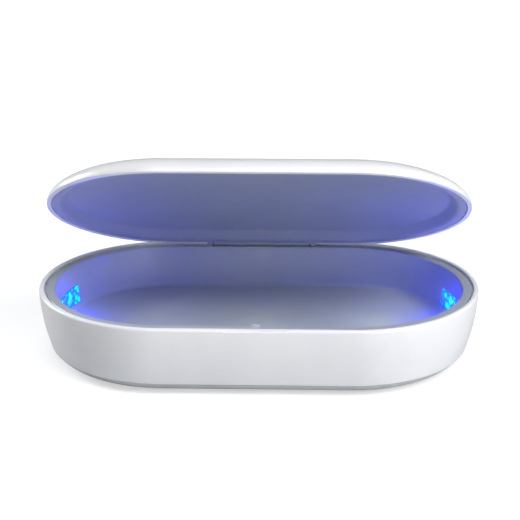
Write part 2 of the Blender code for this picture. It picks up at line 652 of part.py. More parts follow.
def make_board(group, tools, looks):
    """Main board with its chip, plugs, switch and status lamp, and the screws that hold it."""
    board = block("main_circuit_board", (-BOARD_LENGTH / 2, BOARD_FRONT, BOARD_BOTTOM),
                  (BOARD_LENGTH / 2, BOARD_REAR, BOARD_TOP), group, looks["board"])
    stand = BOARD_TOP + PART_GAP
    for label, side in SIDES:
        x, y = side * BOARD_SCREW_X, BOARD_SCREW_Y
        screw(f"board_screw_{label}", (x, y, BOARD_BOTTOM - PART_GAP), BOARD_SCREW_RADIUS, BOARD_HEAD_RADIUS,
              BOARD_HEAD_HEIGHT, BOARD_SCREW_LENGTH, group, looks["steel"])
        hole = rod(f"board_hole_{label}", (x, y, BOARD_BOTTOM - OVERRUN), (x, y, BOARD_TOP + OVERRUN),
                   BOARD_SCREW_RADIUS + SCREW_CLEARANCE, tools)
        combine(board, as_tool(hole), "DIFFERENCE")
        length, depth, height = PLUG_SIZE
        outer = side * (BOARD_LENGTH / 2 - PLUG_INSET)
        xs = sorted((outer, outer - side * length))
        block(f"cable_plug_{label}", (xs[0], PLUG_Y - depth / 2, stand),
              (xs[1], PLUG_Y + depth / 2, stand + height), group, looks["milky"])
    length, depth, height = CHIP_SIZE
    middle = (BOARD_REAR + BOARD_FRONT) / 2
    block("control_chip", (CHIP_X - length / 2, middle - depth / 2, stand),
          (CHIP_X + length / 2, middle + depth / 2, stand + height), group, looks["chip"])
    make_switch(group, looks)
    length, depth, height = STATUS_LAMP_SIZE
    block("status_lamp", (LIGHT_X - length / 2, BOARD_REAR - depth, stand),
          (LIGHT_X + length / 2, BOARD_REAR, stand + height), group, looks["status"])


def button_back():
    """Y of the back of the power button's flange, inside the housing's slanted wall."""
    lowest = PORT_Z - BUTTON_HEIGHT / 2 - BUTTON_FLANGE
    return rear_wall(lowest) - WALL_THICKNESS - BUTTON_SEAT_GAP - BUTTON_FLANGE_THICKNESS


def make_switch(group, looks):
    """Push switch on the board behind the button, joined to its small plunger."""
    length, depth, height = SWITCH_SIZE
    stand = BOARD_TOP + PART_GAP
    tip = button_back() - SWITCH_GAP
    rear = tip - SWITCH_PLUNGER_LENGTH
    bm = bmesh.new()
    bmesh.ops.create_cube(bm, size=1.0)
    bmesh.ops.scale(bm, verts=bm.verts, vec=(length, depth, height))
    bmesh.ops.translate(bm, verts=bm.verts, vec=(BUTTON_X, rear - depth / 2, stand + height / 2))
    bm.faces.ensure_lookup_table()
    face = max(bm.faces, key=lambda f: f.calc_center_median().y)
    bmesh.ops.inset_region(bm, faces=[face], thickness=height / 2 - SWITCH_PLUNGER_RADIUS)
    raised = bmesh.ops.extrude_face_region(bm, geom=[face])["geom"]
    bmesh.ops.translate(bm, verts=[v for v in raised if isinstance(v, bmesh.types.BMVert)],
                        vec=(0, SWITCH_PLUNGER_LENGTH, 0))
    bmesh.ops.delete(bm, geom=[face], context="FACES")
    finish_mesh("power_switch", bm, group, looks["chip"])


def make_button(group, tools, looks):
    """Pill-shaped power button with the flange that keeps it behind the wall."""
    back = button_back()
    seat = back + BUTTON_FLANGE_THICKNESS
    button = pill("power_button", BUTTON_X, PORT_Z, BUTTON_WIDTH, BUTTON_HEIGHT,
                  back + BUTTON_FLANGE_THICKNESS / 2, rear_wall(PORT_Z) + BUTTON_PROUD, group,
                  looks["button"])
    flange = pill("button_flange", BUTTON_X, PORT_Z, BUTTON_WIDTH + 2 * BUTTON_FLANGE,
                  BUTTON_HEIGHT + 2 * BUTTON_FLANGE, back, seat, tools)
    soften = button.modifiers.new("soft_edge", "BEVEL")
    soften.width = BUTTON_EDGE
    soften.segments = 2
    soften.limit_method = "ANGLE"
    combine(button, as_tool(flange), "UNION")


def make_port(group, tools, looks):
    """USB-C socket: a pill-shaped steel shell with a tongue inside."""
    mouth = rear_wall(PORT_Z) - PORT_SET_BACK
    back = mouth - PORT_DEPTH
    shell = pill("usb_c_socket", PORT_X, PORT_Z, PORT_WIDTH, PORT_HEIGHT, back, mouth, group, looks["steel"])
    hollow = pill("socket_hollow", PORT_X, PORT_Z, PORT_WIDTH - 2 * PORT_WALL, PORT_HEIGHT - 2 * PORT_WALL,
                  back + PORT_WALL, mouth + OVERRUN, tools)
    tongue = block("socket_tongue",
                   (PORT_X - TONGUE_WIDTH / 2, back + PORT_WALL / 2, PORT_Z - TONGUE_HEIGHT / 2),
                   (PORT_X + TONGUE_WIDTH / 2, back + PORT_DEPTH * TONGUE_SHARE, PORT_Z + TONGUE_HEIGHT / 2),
                   tools)
    combine(shell, as_tool(hollow), "DIFFERENCE")
    combine(shell, as_tool(tongue), "UNION")
    end = rear_wall(PORT_Z) - LIGHT_SET_BACK
    rod("status_light_pipe", (LIGHT_X, end - LIGHT_LENGTH, PORT_Z), (LIGHT_X, end, PORT_Z), LIGHT_RADIUS,
        group, looks["milky"])


def smooth_route(points, count):
    """Read a smooth curve through the route's own points."""
    route = [points[0], *points, points[-1]]
    spans = len(points) - 1
    line = []
    for k in range(count + 1):
        span = min(k * spans // count, spans - 1)
        t = k * spans / count - span
        a, b, c, d = route[span:span + 4]
        square, cube = 2 * a - 5 * b + 4 * c - d, 3 * b - a - 3 * c + d
        line.append((2 * b + (c - a) * t + square * t ** 2 + cube * t ** 3) / 2)
    return line


def make_cables(group, looks):
    """Lamp cable from each plug under the tray and up behind its wall to the lamp board."""
    low = BOARD_TOP + PART_GAP + CABLE_LOW_LIFT
    for label, side in SIDES:
        start = Vector((side * (BOARD_LENGTH / 2 - PLUG_INSET + CABLE_GAP), PLUG_Y, low))
        foot = place_on_end(side, CABLE_END_ANGLE, CABLE_INSET, low)
        top = place_on_end(side, CABLE_END_ANGLE, LAMP_BOARD_INSET + LAMP_BOARD_THICKNESS / 2,
                           WINDOW_BOTTOM + LENS_GAP - CABLE_GAP)
        bends = [Vector((start.x + (foot.x - start.x) * a, foot.y + (start.y - foot.y) * b, low))
                 for a, b in CABLE_ROUND_SHARES]
        line = smooth_route([start, *bends, foot, top], CABLE_POINTS)
        curve = bpy.data.curves.new(f"lamp_cable_{label}", "CURVE")
        curve.dimensions = "3D"
        curve.bevel_depth = CABLE_RADIUS
        curve.bevel_resolution = 2
        curve.use_fill_caps = True
        curve.materials.append(looks["cable"])
        spline = curve.splines.new("POLY")
        spline.points.add(len(line) - 1)
        for point, place in zip(spline.points, line):
            point.co = (*place, 1.0)
        group.objects.link(bpy.data.objects.new(f"lamp_cable_{label}", curve))


def make_pin(group, looks):
    """Steel hinge pin that the lugs hold."""
    reach = LUG_END - PIN_END_SET_BACK
    rod("hinge_pin", (-reach, HINGE_Y, HINGE_Z), (reach, HINGE_Y, HINGE_Z), PIN_RADIUS, group, looks["steel"])


def make_lid(group, tools, looks):
    """White lid shell and its liner, whose barrel turns on the hinge pin, opened about that pin."""
    shell = sweep_round("lid_shell", lid_profile(), group, looks["white"], closed=False, thickness=LID_WALL)
    liner = sweep_round("lid_liner", liner_profile(), group, looks["liner"], closed=False,
                        thickness=LINER_THICKNESS)
    barrel = rod("barrel", (-BARREL_HALF, HINGE_Y, HINGE_Z), (BARREL_HALF, HINGE_Y, HINGE_Z),
                 BARREL_RADIUS, tools)
    low = LID_BOTTOM + LINER_RIM_LIFT
    web = block("barrel_web", (-BARREL_HALF, HINGE_Y - WEB_REACH, low),
                (BARREL_HALF, HINGE_Y - BARREL_RADIUS / 2, low + WEB_HEIGHT), tools)
    reach = LUG_END + BARREL_CLEARANCE
    notch = rod("lid_notch_cutter", (-reach, HINGE_Y, HINGE_Z), (reach, HINGE_Y, HINGE_Z),
                BARREL_RADIUS + BARREL_CLEARANCE, tools)
    mouth = block("web_notch_cutter", (-reach, HINGE_Y - WEB_REACH, LID_BOTTOM - OVERRUN),
                  (reach, HINGE_Y, low + WEB_HEIGHT + BARREL_CLEARANCE), tools)
    bore = rod("barrel_bore_cutter", (-reach, HINGE_Y, HINGE_Z), (reach, HINGE_Y, HINGE_Z),
               PIN_RADIUS + PIN_CLEARANCE, tools)
    combine(shell, as_tool(notch), "DIFFERENCE")
    combine(shell, as_tool(mouth), "DIFFERENCE")
    combine(liner, as_tool(barrel), "UNION")
    combine(liner, as_tool(web), "UNION")
    combine(liner, as_tool(bore), "DIFFERENCE")
    axis = bpy.data.objects.new("lid_axis", None)
    group.objects.link(axis)
    axis.location = (0, HINGE_Y, HINGE_Z)
    axis.rotation_euler = (-LID_OPEN_ANGLE, 0, 0)
    for item in (shell, liner, barrel, web, notch, mouth, bore):
        item.parent = axis
        item.location = (0, -HINGE_Y, -HINGE_Z)


def make_looks():
    """Materials by name."""
    return {
        "white": make_material("white_abs", (0.80, 0.81, 0.83), 0.32),
        "liner": make_material("grey_blue_abs", (0.36, 0.40, 0.46), 0.4),
        "base_grey": make_material("base_grey_abs", (0.35, 0.355, 0.36), 0.5),
        "silicone": make_material("grey_silicone", (0.2, 0.2, 0.21), 0.8),
        "lens": make_material("clear_acrylic", (0.75, 0.92, 1.0), 0.05, alpha=0.4),
        "mirror": make_material("plated_reflector", (0.8, 0.82, 0.85), 0.12, 1.0),
        "lamp": make_material("uv_lamp", (0.1, 0.75, 1.0), 0.2),
        "status": make_material("status_lamp", (0.2, 0.9, 0.4), 0.3),
        "milky": make_material("milky_polycarbonate", (0.75, 0.78, 0.82), 0.25),
        "board": make_material("green_board", (0.03, 0.2, 0.09), 0.4),
        "chip": make_material("black_epoxy", (0.02, 0.02, 0.022), 0.45),
        "steel": make_material("steel", (0.62, 0.62, 0.64), 0.25, 1.0),
        "button": make_material("white_button", (0.78, 0.79, 0.81), 0.35),
        "cable": make_material("white_cable", (0.7, 0.7, 0.7), 0.5),
    }


def main():
    """Build the whole box."""
    clear_scene()
    group = make_collection(OBJECT_NAME)
    tools = make_collection("cutters")
    looks = make_looks()
    make_housing(group, tools, looks)
    spots = make_base(group, tools, looks)
    make_tray(group, tools, looks, spots)
    make_sensor(group, looks)
    make_lamps(group, tools, looks)
    make_board(group, tools, looks)
    make_button(group, tools, looks)
    make_port(group, tools, looks)
    make_cables(group, looks)
    make_pin(group, looks)
    make_lid(group, tools, looks)


main()
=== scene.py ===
"""Dressed model of a capsule-shaped UV sterilizer box, standing open.

The white body, its grey-blue tray, the lamps behind the end lenses and the hinged lid are
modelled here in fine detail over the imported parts, and every part gets its own finish. All
lengths are in metres. +X runs along the box, +Y points to the hinge and +Z is up. Outlines
are lists of (inset, height) points: the inset counts inwards from the rim of the body.
"""

from __future__ import annotations

import logging
import math
from contextlib import contextmanager
from dataclasses import dataclass, field
from enum import Enum
from typing import Callable, Iterator, Sequence

import bmesh
import bpy
from mathutils import Matrix, Vector


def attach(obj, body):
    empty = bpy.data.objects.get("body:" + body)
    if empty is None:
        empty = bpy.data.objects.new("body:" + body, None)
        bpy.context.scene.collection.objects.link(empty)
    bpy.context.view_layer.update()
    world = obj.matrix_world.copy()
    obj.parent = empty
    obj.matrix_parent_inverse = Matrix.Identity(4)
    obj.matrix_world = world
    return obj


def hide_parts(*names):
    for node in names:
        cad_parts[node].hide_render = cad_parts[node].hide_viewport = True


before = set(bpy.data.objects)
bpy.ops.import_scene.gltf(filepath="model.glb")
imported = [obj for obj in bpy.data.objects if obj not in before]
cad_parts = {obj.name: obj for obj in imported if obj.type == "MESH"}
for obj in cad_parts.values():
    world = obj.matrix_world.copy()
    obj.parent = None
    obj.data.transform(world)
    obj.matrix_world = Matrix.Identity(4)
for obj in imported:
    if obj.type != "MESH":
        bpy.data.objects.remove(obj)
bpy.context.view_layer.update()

LOG = logging.getLogger("uv_sterilizer_box")

MM = 0.001
STRAIGHT_HALF = 43.0 * MM
END_RADIUS = 63.0 * MM
SWEEP_STEPS = 144
RIM_TOP = 34.5 * MM
WALL_BOTTOM = 6.0 * MM
FLANGE_TOP = 33.7 * MM
TRAY_FLOOR = 13.0 * MM
TRAY_DRAFT = 0.11
FLANGE_INNER_INSET = 7.6 * MM
WINDOW_HALF_ANGLE = math.radians(26.0)
WINDOW_BOTTOM = 14.4 * MM
WINDOW_TOP = 23.7 * MM
LAMP_Z = (WINDOW_BOTTOM + WINDOW_TOP) / 2
HINGE_Y = 59.0 * MM
HINGE_Z = 35.2 * MM
BARREL_RADIUS = 2.1 * MM
BARREL_HALF = 24.8 * MM
LUG_START = 25.8 * MM
LUG_END = 28.4 * MM
NOTCH_GAP = 0.3 * MM
LID_OPEN_ANGLE = math.radians(34.0)
LID_BOTTOM = 34.0 * MM
LID_INSET = 3.6 * MM
REAR_Z = 9.3 * MM
BUTTON_X = -24.0 * MM
LIGHT_X = -12.0 * MM
WALL_TAPER = 4.9 * MM
WALL_CURVE = 1.9
BORE_RADIUS = 1.1 * MM
BORE_HALF = 32.0 * MM
OVERRUN = 4.0 * MM
TOOL_REACH = 12.0 * MM
SCREW_HOLE_RADIUS = 1.2 * MM
SCREW_PLACES = [Vector((x * MM, y * MM, 0)) for x in (-62, 62) for y in (-30, 30)]
WEB_DEPTH = 3.4 * MM

Point = tuple[float, float]


class Body(Enum):
    """Rigid bodies of the box."""

    BASE = "base"
    LID = "lid"
    BUTTON = "button"


class Side(Enum):
    """Round ends of the box."""

    LEFT = -1
    RIGHT = 1

    @property
    def label(self) -> str:
        """Lower-case name of the side."""
        return self.name.lower()


def linear(hex_colour: str, alpha: float = 1.0) -> tuple[float, float, float, float]:
    """Turn an sRGB hex colour into a linear one.

    Args:
        hex_colour: Six hex digits.
        alpha: Opacity.

    Returns:
        Linear red, green, blue and alpha.
    """
    parts = [int(hex_colour[k:k + 2], 16) / 255 for k in (0, 2, 4)]
    red, green, blue = [c / 12.92 if c <= 0.04045 else ((c + 0.055) / 1.055) ** 2.4 for c in parts]
    return red, green, blue, alpha


def wire(node: bpy.types.Node, inputs: dict) -> bpy.types.Node:
    """Set or link the inputs of a node.

    Args:
        node: Node whose inputs are set.
        inputs: A value, an output socket or a node (for its first output) by each input's name or number.

    Returns:
        The same node.
    """
    for key, value in inputs.items():
        if isinstance(value, bpy.types.Node):
            value = value.outputs[0]
        if isinstance(value, bpy.types.NodeSocket):
            node.id_data.links.new(value, node.inputs[key])
        else:
            node.inputs[key].default_value = value
    return node


def add_node(tree: bpy.types.NodeTree, kind: str, inputs: dict | None = None,
             steps: Sequence[tuple[float, str]] = (), **settings) -> bpy.types.Node:
    """Add a node with its settings, values and links.

    Args:
        tree: Node tree that gets the node.
        kind: Blender's name of the node type, without its prefix.
        inputs: What each input gets, as in wire().
        steps: Positions and sRGB hex colours of a colour ramp.
        settings: Attributes of the node.

    Returns:
        The new node.
    """
    node = tree.nodes.new(f"ShaderNode{kind}")
    for key, value in settings.items():
        setattr(node, key, value)
    for number, (place, colour) in enumerate(steps):
        stops = node.color_ramp.elements
        stop = stops[number] if number < len(stops) else stops.new(place)
        stop.position, stop.color = place, linear(colour)
    return wire(node, inputs or {})


@dataclass(frozen=True)
class Making:
    """Material in the making.

    Attributes:
        tree: Its node tree.
        shader: Its Principled shader.
        place: The object's own coordinates.
    """

    tree: bpy.types.NodeTree
    shader: bpy.types.Node
    place: bpy.types.NodeSocket


@dataclass(frozen=True)
class Finish:
    """Base of all finishes.

    Attributes:
        name: Name of the material.
        colour: Main sRGB hex colour.
        roughness: Principled roughness.
        ior: Index of refraction, or None to keep the shader's own.
    """

    name: str
    colour: str
    roughness: float
    ior: float | None = None

    def build(self) -> bpy.types.Material:
        """Make the material, or find it if another piece has it already.

        Returns:
            The material.
        """
        known = bpy.data.materials.get(self.name)
        if known:
            return known
        material = bpy.data.materials.new(self.name)
        material.use_nodes = True
        tree = material.node_tree
        shader = wire(tree.nodes["Principled BSDF"],
                      {"Roughness": self.roughness, "Base Color": linear(self.colour)})
        if self.ior is not None:
            wire(shader, {"IOR": self.ior})
        self.dress(Making(tree, shader, add_node(tree, "TexCoord").outputs["Object"]))
        material.diffuse_color = linear(self.colour)
        return material

    def dress(self, made: Making) -> None:
        """Add what this finish has beyond its colour and roughness.

        Args:
            made: Material in the making.
        """


@dataclass(frozen=True)
class MouldedPlastic(Finish):
    """Injection-moulded plastic: a fine grain over a faintly wavy and almost evenly coloured face.

    Attributes:
        shade: sRGB hex colour of the slightly darker clouds.
        grain: Size of the mould's grain in metres.
        grain_depth: Depth of the grain in metres.
        gloss_spread: Spread of the roughness.
        coat: Weight of a thin clear coat.
    """

    ior: float = 1.53
    shade: str = "E4E5E8"
    grain: float = 0.35 * MM
    grain_depth: float = 0.012 * MM
    gloss_spread: float = 0.06
    coat: float = 0.0

    def dress(self, made: Making) -> None:
        """Add the clouds, the swells, the grain and the uneven gloss.

        Args:
            made: Material in the making.
        """
        # Clouds of 26 mm keep the large faces from looking like one flat colour.
        clouds = add_node(made.tree, "TexNoise", {"Vector": made.place, "Scale": 1 / (26 * MM), "Detail": 3.0})
        tone = add_node(made.tree, "ValToRGB", {"Fac": clouds}, steps=((0.3, self.shade), (0.7, self.colour)))
        # Swells of 9 mm bend the reflections a little, as on a moulded wall that has cooled unevenly.
        waves = add_node(made.tree, "TexNoise", {"Vector": made.place, "Scale": 1 / (9 * MM), "Detail": 1.0})
        swell = add_node(made.tree, "Bump", {"Height": waves, "Distance": 0.02 * MM, "Strength": 0.35})
        # The grain breaks the gloss up into a soft satin. It is drawn about four times coarser than real.
        grain = add_node(made.tree, "TexNoise", {"Vector": made.place, "Scale": 1 / self.grain, "Detail": 3.0})
        gloss = add_node(made.tree, "MapRange", {"Value": grain, "To Min": self.roughness - self.gloss_spread,
                                                 "To Max": self.roughness + self.gloss_spread})
        relief = add_node(made.tree, "Bump", {"Height": grain, "Distance": self.grain_depth, "Strength": 0.5,
                                              "Normal": swell})
        wire(made.shader, {"Base Color": tone, "Roughness": gloss, "Normal": relief, "Coat Weight": self.coat,
                           "Coat Roughness": 0.12})


@dataclass(frozen=True)
class GrippySilicone(Finish):
    """Moulded silicone: matt, a little dusty, with rows of small raised dots.

    Attributes:
        dust: sRGB hex colour of the dust.
        pitch: Spacing of the dots in metres.
    """

    ior: float = 1.41
    dust: str = "5A5B5E"
    pitch: float = 1.6 * MM

    def dress(self, made: Making) -> None:
        """Add the dots and the dust.

        Args:
            made: Material in the making.
        """
        # Dust in patches of 5 mm lifts the dark rubber to a dull grey here and there.
        clouds = add_node(made.tree, "TexNoise", {"Vector": made.place, "Scale": 1 / (5 * MM), "Detail": 5.0})
        tone = add_node(made.tree, "ValToRGB", {"Fac": clouds}, steps=((0.35, self.colour), (0.8, self.dust)))
        # Dots at their real spacing show as a regular pattern of small highlights.
        cells = add_node(made.tree, "TexVoronoi", {"Vector": made.place, "Scale": 1 / self.pitch, "Randomness": 0.0})
        dots = add_node(made.tree, "MapRange", {"Value": cells, "From Min": 0.3, "From Max": 0.42, "To Min": 1.0,
                                                "To Max": 0.0})
        relief = add_node(made.tree, "Bump", {"Height": dots, "Distance": 0.15 * MM, "Strength": 0.8})
        wire(made.shader, {"Base Color": tone, "Normal": relief})


@dataclass(frozen=True)
class ClearAcrylic(Finish):
    """Polished clear acrylic with a blue cast.

    Attributes:
        haze: How much rougher the haziest places are.
    """

    ior: float = 1.49
    haze: float = 0.08

    def dress(self, made: Making) -> None:
        """Make it clear, with a trace of haze.

        Args:
            made: Material in the making.
        """
        # Haze in specks of about 1 mm softens the lamps' spots behind the window.
        specks = add_node(made.tree, "TexNoise", {"Vector": made.place, "Scale": 1 / (1.2 * MM), "Detail": 3.0})
        gloss = add_node(made.tree, "MapRange", {"Value": specks, "To Min": self.roughness,
                                                 "To Max": self.roughness + self.haze})
        wire(made.shader, {"Roughness": gloss, "Transmission Weight": 1.0})


@dataclass(frozen=True)
class MilkyPolycarbonate(Finish):
    """Frosted polycarbonate that lets light through and hides what is behind.

    Attributes:
        shade: sRGB hex colour of the denser clouds.
    """

    ior: float = 1.58
    shade: str = "AEB4BF"

    def dress(self, made: Making) -> None:
        """Add the cloudy depth and the frosting.

        Args:
            made: Material in the making.
        """
        # Clouds of 2.5 mm under the face make it look deep instead of painted.
        clouds = add_node(made.tree, "TexNoise", {"Vector": made.place, "Scale": 1 / (2.5 * MM), "Detail": 3.0})
        tone = add_node(made.tree, "ValToRGB", {"Fac": clouds}, steps=((0.3, self.shade), (0.7, self.colour)))
        # Frosting dulls the highlight. It is drawn about three times coarser than real.
        frost = add_node(made.tree, "TexNoise", {"Vector": made.place, "Scale": 1 / (0.3 * MM)})
        relief = add_node(made.tree, "Bump", {"Height": frost, "Distance": 0.01 * MM, "Strength": 0.4})
        wire(made.shader, {"Base Color": tone, "Normal": relief, "Transmission Weight": 0.25,
                           "Subsurface Weight": 0.3, "Subsurface Scale": 1.5 * MM})


@dataclass(frozen=True)
class TurnedMetal(Finish):
    """Turned or drawn metal with fine lines along it.

    Attributes:
        shine: sRGB hex colour of the brighter lines.
        stretch: Scale of the pattern along X, Y and Z. The lines run where it is small.
        line: Spacing of the lines in metres.
    """

    shine: str = "E2E2E4"
    stretch: tuple[float, float, float] = (0.06, 1.0, 1.0)
    line: float = 0.12 * MM

    def dress(self, made: Making) -> None:
        """Add the drawn lines.

        Args:
            made: Material in the making.
        """
        # Lines along the metal stretch each highlight across them. They are drawn about three times coarser
        # than real, so that they still show from a hand's distance.
        way = add_node(made.tree, "Mapping", {"Vector": made.place, "Scale": self.stretch})
        lines = add_node(made.tree, "TexNoise", {"Vector": way, "Scale": 1 / self.line, "Detail": 2.0})
        tone = add_node(made.tree, "ValToRGB", {"Fac": lines}, steps=((0.3, self.colour), (0.75, self.shine)))
        gloss = add_node(made.tree, "MapRange", {"Value": lines, "To Min": self.roughness,
                                                 "To Max": self.roughness + 0.15})
        relief = add_node(made.tree, "Bump", {"Height": lines, "Distance": 0.004 * MM, "Strength": 0.6})
        wire(made.shader, {"Base Color": tone, "Roughness": gloss, "Normal": relief, "Metallic": 1.0})


@dataclass(frozen=True)
class LampAndPaintedGlow(Finish):
    """Self-lit finish that shines unevenly from spot to spot: real light on the lamp chips and the status lamp, and
    on the plated cup a painted glow that stands in for the lamps' reflected light.

    Attributes:
        deep: sRGB hex colour of the dim places.
        strength: Strength of the light.
        cell: Size of the bright spots in metres.
    """

    deep: str = "1430F0"
    strength: float = 1.0
    cell: float = 2.2 * MM

    def dress(self, made: Making) -> None:
        """Add the light.

        Args:
            made: Material in the making.
        """
        # Spots as large as the lamps' own dies and the cup's dimples: bright in the middle, deeper in colour around
        # it. On the cup they are painted reflections of the lamps.
        cells = add_node(made.tree, "TexVoronoi", {"Vector": made.place, "Scale": 1 / self.cell})
        glow = add_node(made.tree, "ValToRGB", {"Fac": cells}, steps=((0.22, self.colour), (0.55, self.deep)))
        wire(made.shader, {"Emission Color": glow, "Base Color": glow, "Emission Strength": self.strength})


@dataclass(frozen=True)
class SolderMask(Finish):
    """Circuit board laminate under green lacquer, with copper runs that stand up a little.

    Attributes:
        run: sRGB hex colour of the lacquer over copper.
    """

    ior: float = 1.55
    run: str = "2E7A4A"

    def dress(self, made: Making) -> None:
        """Add the runs.

        Args:
            made: Material in the making.
        """
        # Runs in a 3 mm raster, about 0.3 mm wide, read as copper under the lacquer.
        bricks = add_node(made.tree, "TexBrick", {"Vector": made.place, "Scale": 1 / (3 * MM), "Mortar Size": 0.09,
                                                  "Mortar Smooth": 0.2, "Brick Width": 1.0, "Row Height": 0.35})
        runs = bricks.outputs["Fac"]
        tone = add_node(made.tree, "ValToRGB", {"Fac": runs}, steps=((0.2, self.colour), (0.8, self.run)))
        relief = add_node(made.tree, "Bump", {"Height": runs, "Distance": 0.03 * MM, "Strength": 0.6})
        wire(made.shader, {"Base Color": tone, "Normal": relief, "Coat Weight": 0.5})


# White ABS with a satin grain gives an even, slightly cool white whose highlights are broad and soft.
WHITE_ABS = MouldedPlastic("white_satin_abs", "F2F3F5", 0.36, shade="ECEDF0", coat=0.15)
# Grey-blue ABS of the tray takes the lamps' light on softly and mirrors the windows faintly.
TRAY_ABS = MouldedPlastic("grey_blue_satin_abs", "AFB6C0", 0.42, shade="A8AFB9", grain=0.45 * MM, coat=0.3)
# The same ABS without a shine gives the lid's lining its even, deeper tone.
LINING_ABS = MouldedPlastic("grey_blue_lining_abs", "A2A8B4", 0.4, shade="9BA1AE", grain=0.45 * MM)
# Pale grey ABS with a coarser grain sets the base off from the white body and stays matt.
BASE_ABS = MouldedPlastic("grey_base_abs", "D2D3D6", 0.5, shade="C9CACE", grain=0.6 * MM, grain_depth=0.02 * MM)
# White ABS polished by use makes the button gleam a little more than the wall around it.
BUTTON_ABS = MouldedPlastic("white_button_abs", "EDEEF0", 0.28, shade="E6E7EA", grain=0.3 * MM, coat=0.3)
# Dark silicone swallows the light under the box, and its dots say that it grips.
PAD_SILICONE = GrippySilicone("grey_silicone", "3C3D40", 0.75)
# Clear acrylic with a blue cast lets the lamps' spots through and bends them at its facets.
LENS_ACRYLIC = ClearAcrylic("blue_clear_acrylic", "DDF4FF", 0.04)
# Frosted polycarbonate glows softly from inside and stays paler than the flange around it.
PIPE_POLYCARBONATE = MilkyPolycarbonate("milky_polycarbonate", "D9DEE8", 0.3)
# Drawn steel reads as a hard bright rod between the barrel and the lugs.
PIN_STEEL = TurnedMetal("drawn_steel", "B9BABD", 0.22)
# Pressed stainless steel frames the socket with a thin bright ring, its lines running into the box.
SOCKET_STEEL = TurnedMetal("pressed_stainless_steel", "BFC0C4", 0.25, stretch=(1.0, 0.08, 1.0))
# Zinc-plated steel is a cooler and duller grey than the pin, with lines along the screw.
SCREW_STEEL = TurnedMetal("zinc_plated_steel", "A9ADB3", 0.3, stretch=(1.0, 1.0, 0.1))
# Gold plating makes the contacts stand out warm against the black tongue.
CONTACT_GOLD = TurnedMetal("gold_plated_contacts", "D8B25A", 0.2, shine="F0D890", stretch=(1.0, 0.1, 1.0))
# Lamps that are lit show as the cyan points, almost white in the middle.
LAMP_LIGHT = LampAndPaintedGlow("lit_lamp_chip", "20FFFF", 0.3, deep="00D0FF", strength=3.0, cell=1.2 * MM)
# The plated cup gets a painted glow that shines by itself: a painted reflection of the lamps' light, cyan near the
# lamps and blue between them.
CUP_PAINTED_GLOW = LampAndPaintedGlow("plated_cup_painted_glow", "00F8FF", 0.2, deep="2A74F4", strength=1.25, cell=3.0 * MM)
# A dim green epoxy lamp tells that the box is on, behind the light pipe.
STATUS_LIGHT = LampAndPaintedGlow("status_lamp_epoxy", "6BE08C", 0.3, deep="2E9E55", strength=0.3, cell=1.0 * MM)
# Green lacquer over copper gives the boards their usual colour and their glossy, ribbed face.
BOARD_MASK = SolderMask("green_solder_mask", "14502C", 0.35)
# Black epoxy is nearly matt and makes the chips and the tongue the darkest pieces.
CHIP_EPOXY = MouldedPlastic("black_moulding_epoxy", "1D1E20", 0.5, shade="161719", grain=0.2 * MM)
# Ivory nylon looks warm and slightly waxy beside the white cables.
PLUG_NYLON = MouldedPlastic("ivory_plug_nylon", "E7E3D6", 0.45, shade="DDD8C9", grain=0.25 * MM)
# White vinyl with little gloss reads as a soft cable.
CABLE_VINYL = MouldedPlastic("white_cable_vinyl", "D6D7D9", 0.5, shade="CBCCCF", grain=0.3 * MM)


def wall_inset(z: float) -> float:
    """Inset of the body's outer wall at a height."""
    drop = max(RIM_TOP - z, 0.0) / (RIM_TOP - WALL_BOTTOM)
    return WALL_TAPER * drop ** WALL_CURVE


def tray_inset(z: float) -> float:
    """Inset of the tray's inner wall at a height."""
    return FLANGE_INNER_INSET + TRAY_DRAFT * (FLANGE_TOP - z)


def arc(centre: Point, radius: float, start: float, end: float, steps: int = 6) -> list[Point]:
    """Return the points of an arc in an outline.

    Args:
        centre: Middle of the arc.
        radius: Radius in metres.
        start: First angle in degrees.
        end: Last angle in degrees.
        steps: Number of spans.

    Returns:
        The points, both ends included.
    """
    turn = [math.radians(start + (end - start) * k / steps) for k in range(steps + 1)]
    return [(centre[0] + radius * math.cos(a), centre[1] + radius * math.sin(a)) for a in turn]


def inner_line(points: Sequence[Point], distance: float) -> list[Point]:
    """Return a line that keeps a distance below and inside an outline.

    Args:
        points: Outline that starts at the edge and ends at the middle.
        distance: Distance between the lines in metres.

    Returns:
        The line, in the same order.
    """
    line = []
    for before, here, after in zip([points[0], *points], points, [*points[1:], points[-1]]):
        way = Vector((after[0] - before[0], after[1] - before[1])).normalized()
        line.append((here[0] + way.y * distance, here[1] - way.x * distance))
    return line


def smooth_line(points: Sequence[Point], rows: int) -> list[Point]:
    """Return a smooth curve through points.

    Args:
        points: Points that the curve passes.
        rows: Spans between two points.

    Returns:
        The points of the curve.
    """
    spots = [Vector(p) for p in (points[0], *points, points[-1])]
    line = [tuple(spots[1])]
    for a, b, c, d in zip(spots, spots[1:], spots[2:], spots[3:]):
        for k in range(1, rows + 1):
            t = k / rows
            bend = (2 * a - 5 * b + 4 * c - d) * t ** 2
            twist = (3 * b - a - 3 * c + d) * t ** 3
            line.append(tuple(0.5 * (2 * b + (c - a) * t + bend + twist)))
    return line


def deselect() -> None:
    """Deselect every object."""
    for item in bpy.context.selected_objects:
        item.select_set(False)


def pick_all() -> None:
    """Select the whole mesh, in edit mode."""
    bpy.ops.mesh.select_all(action="SELECT")


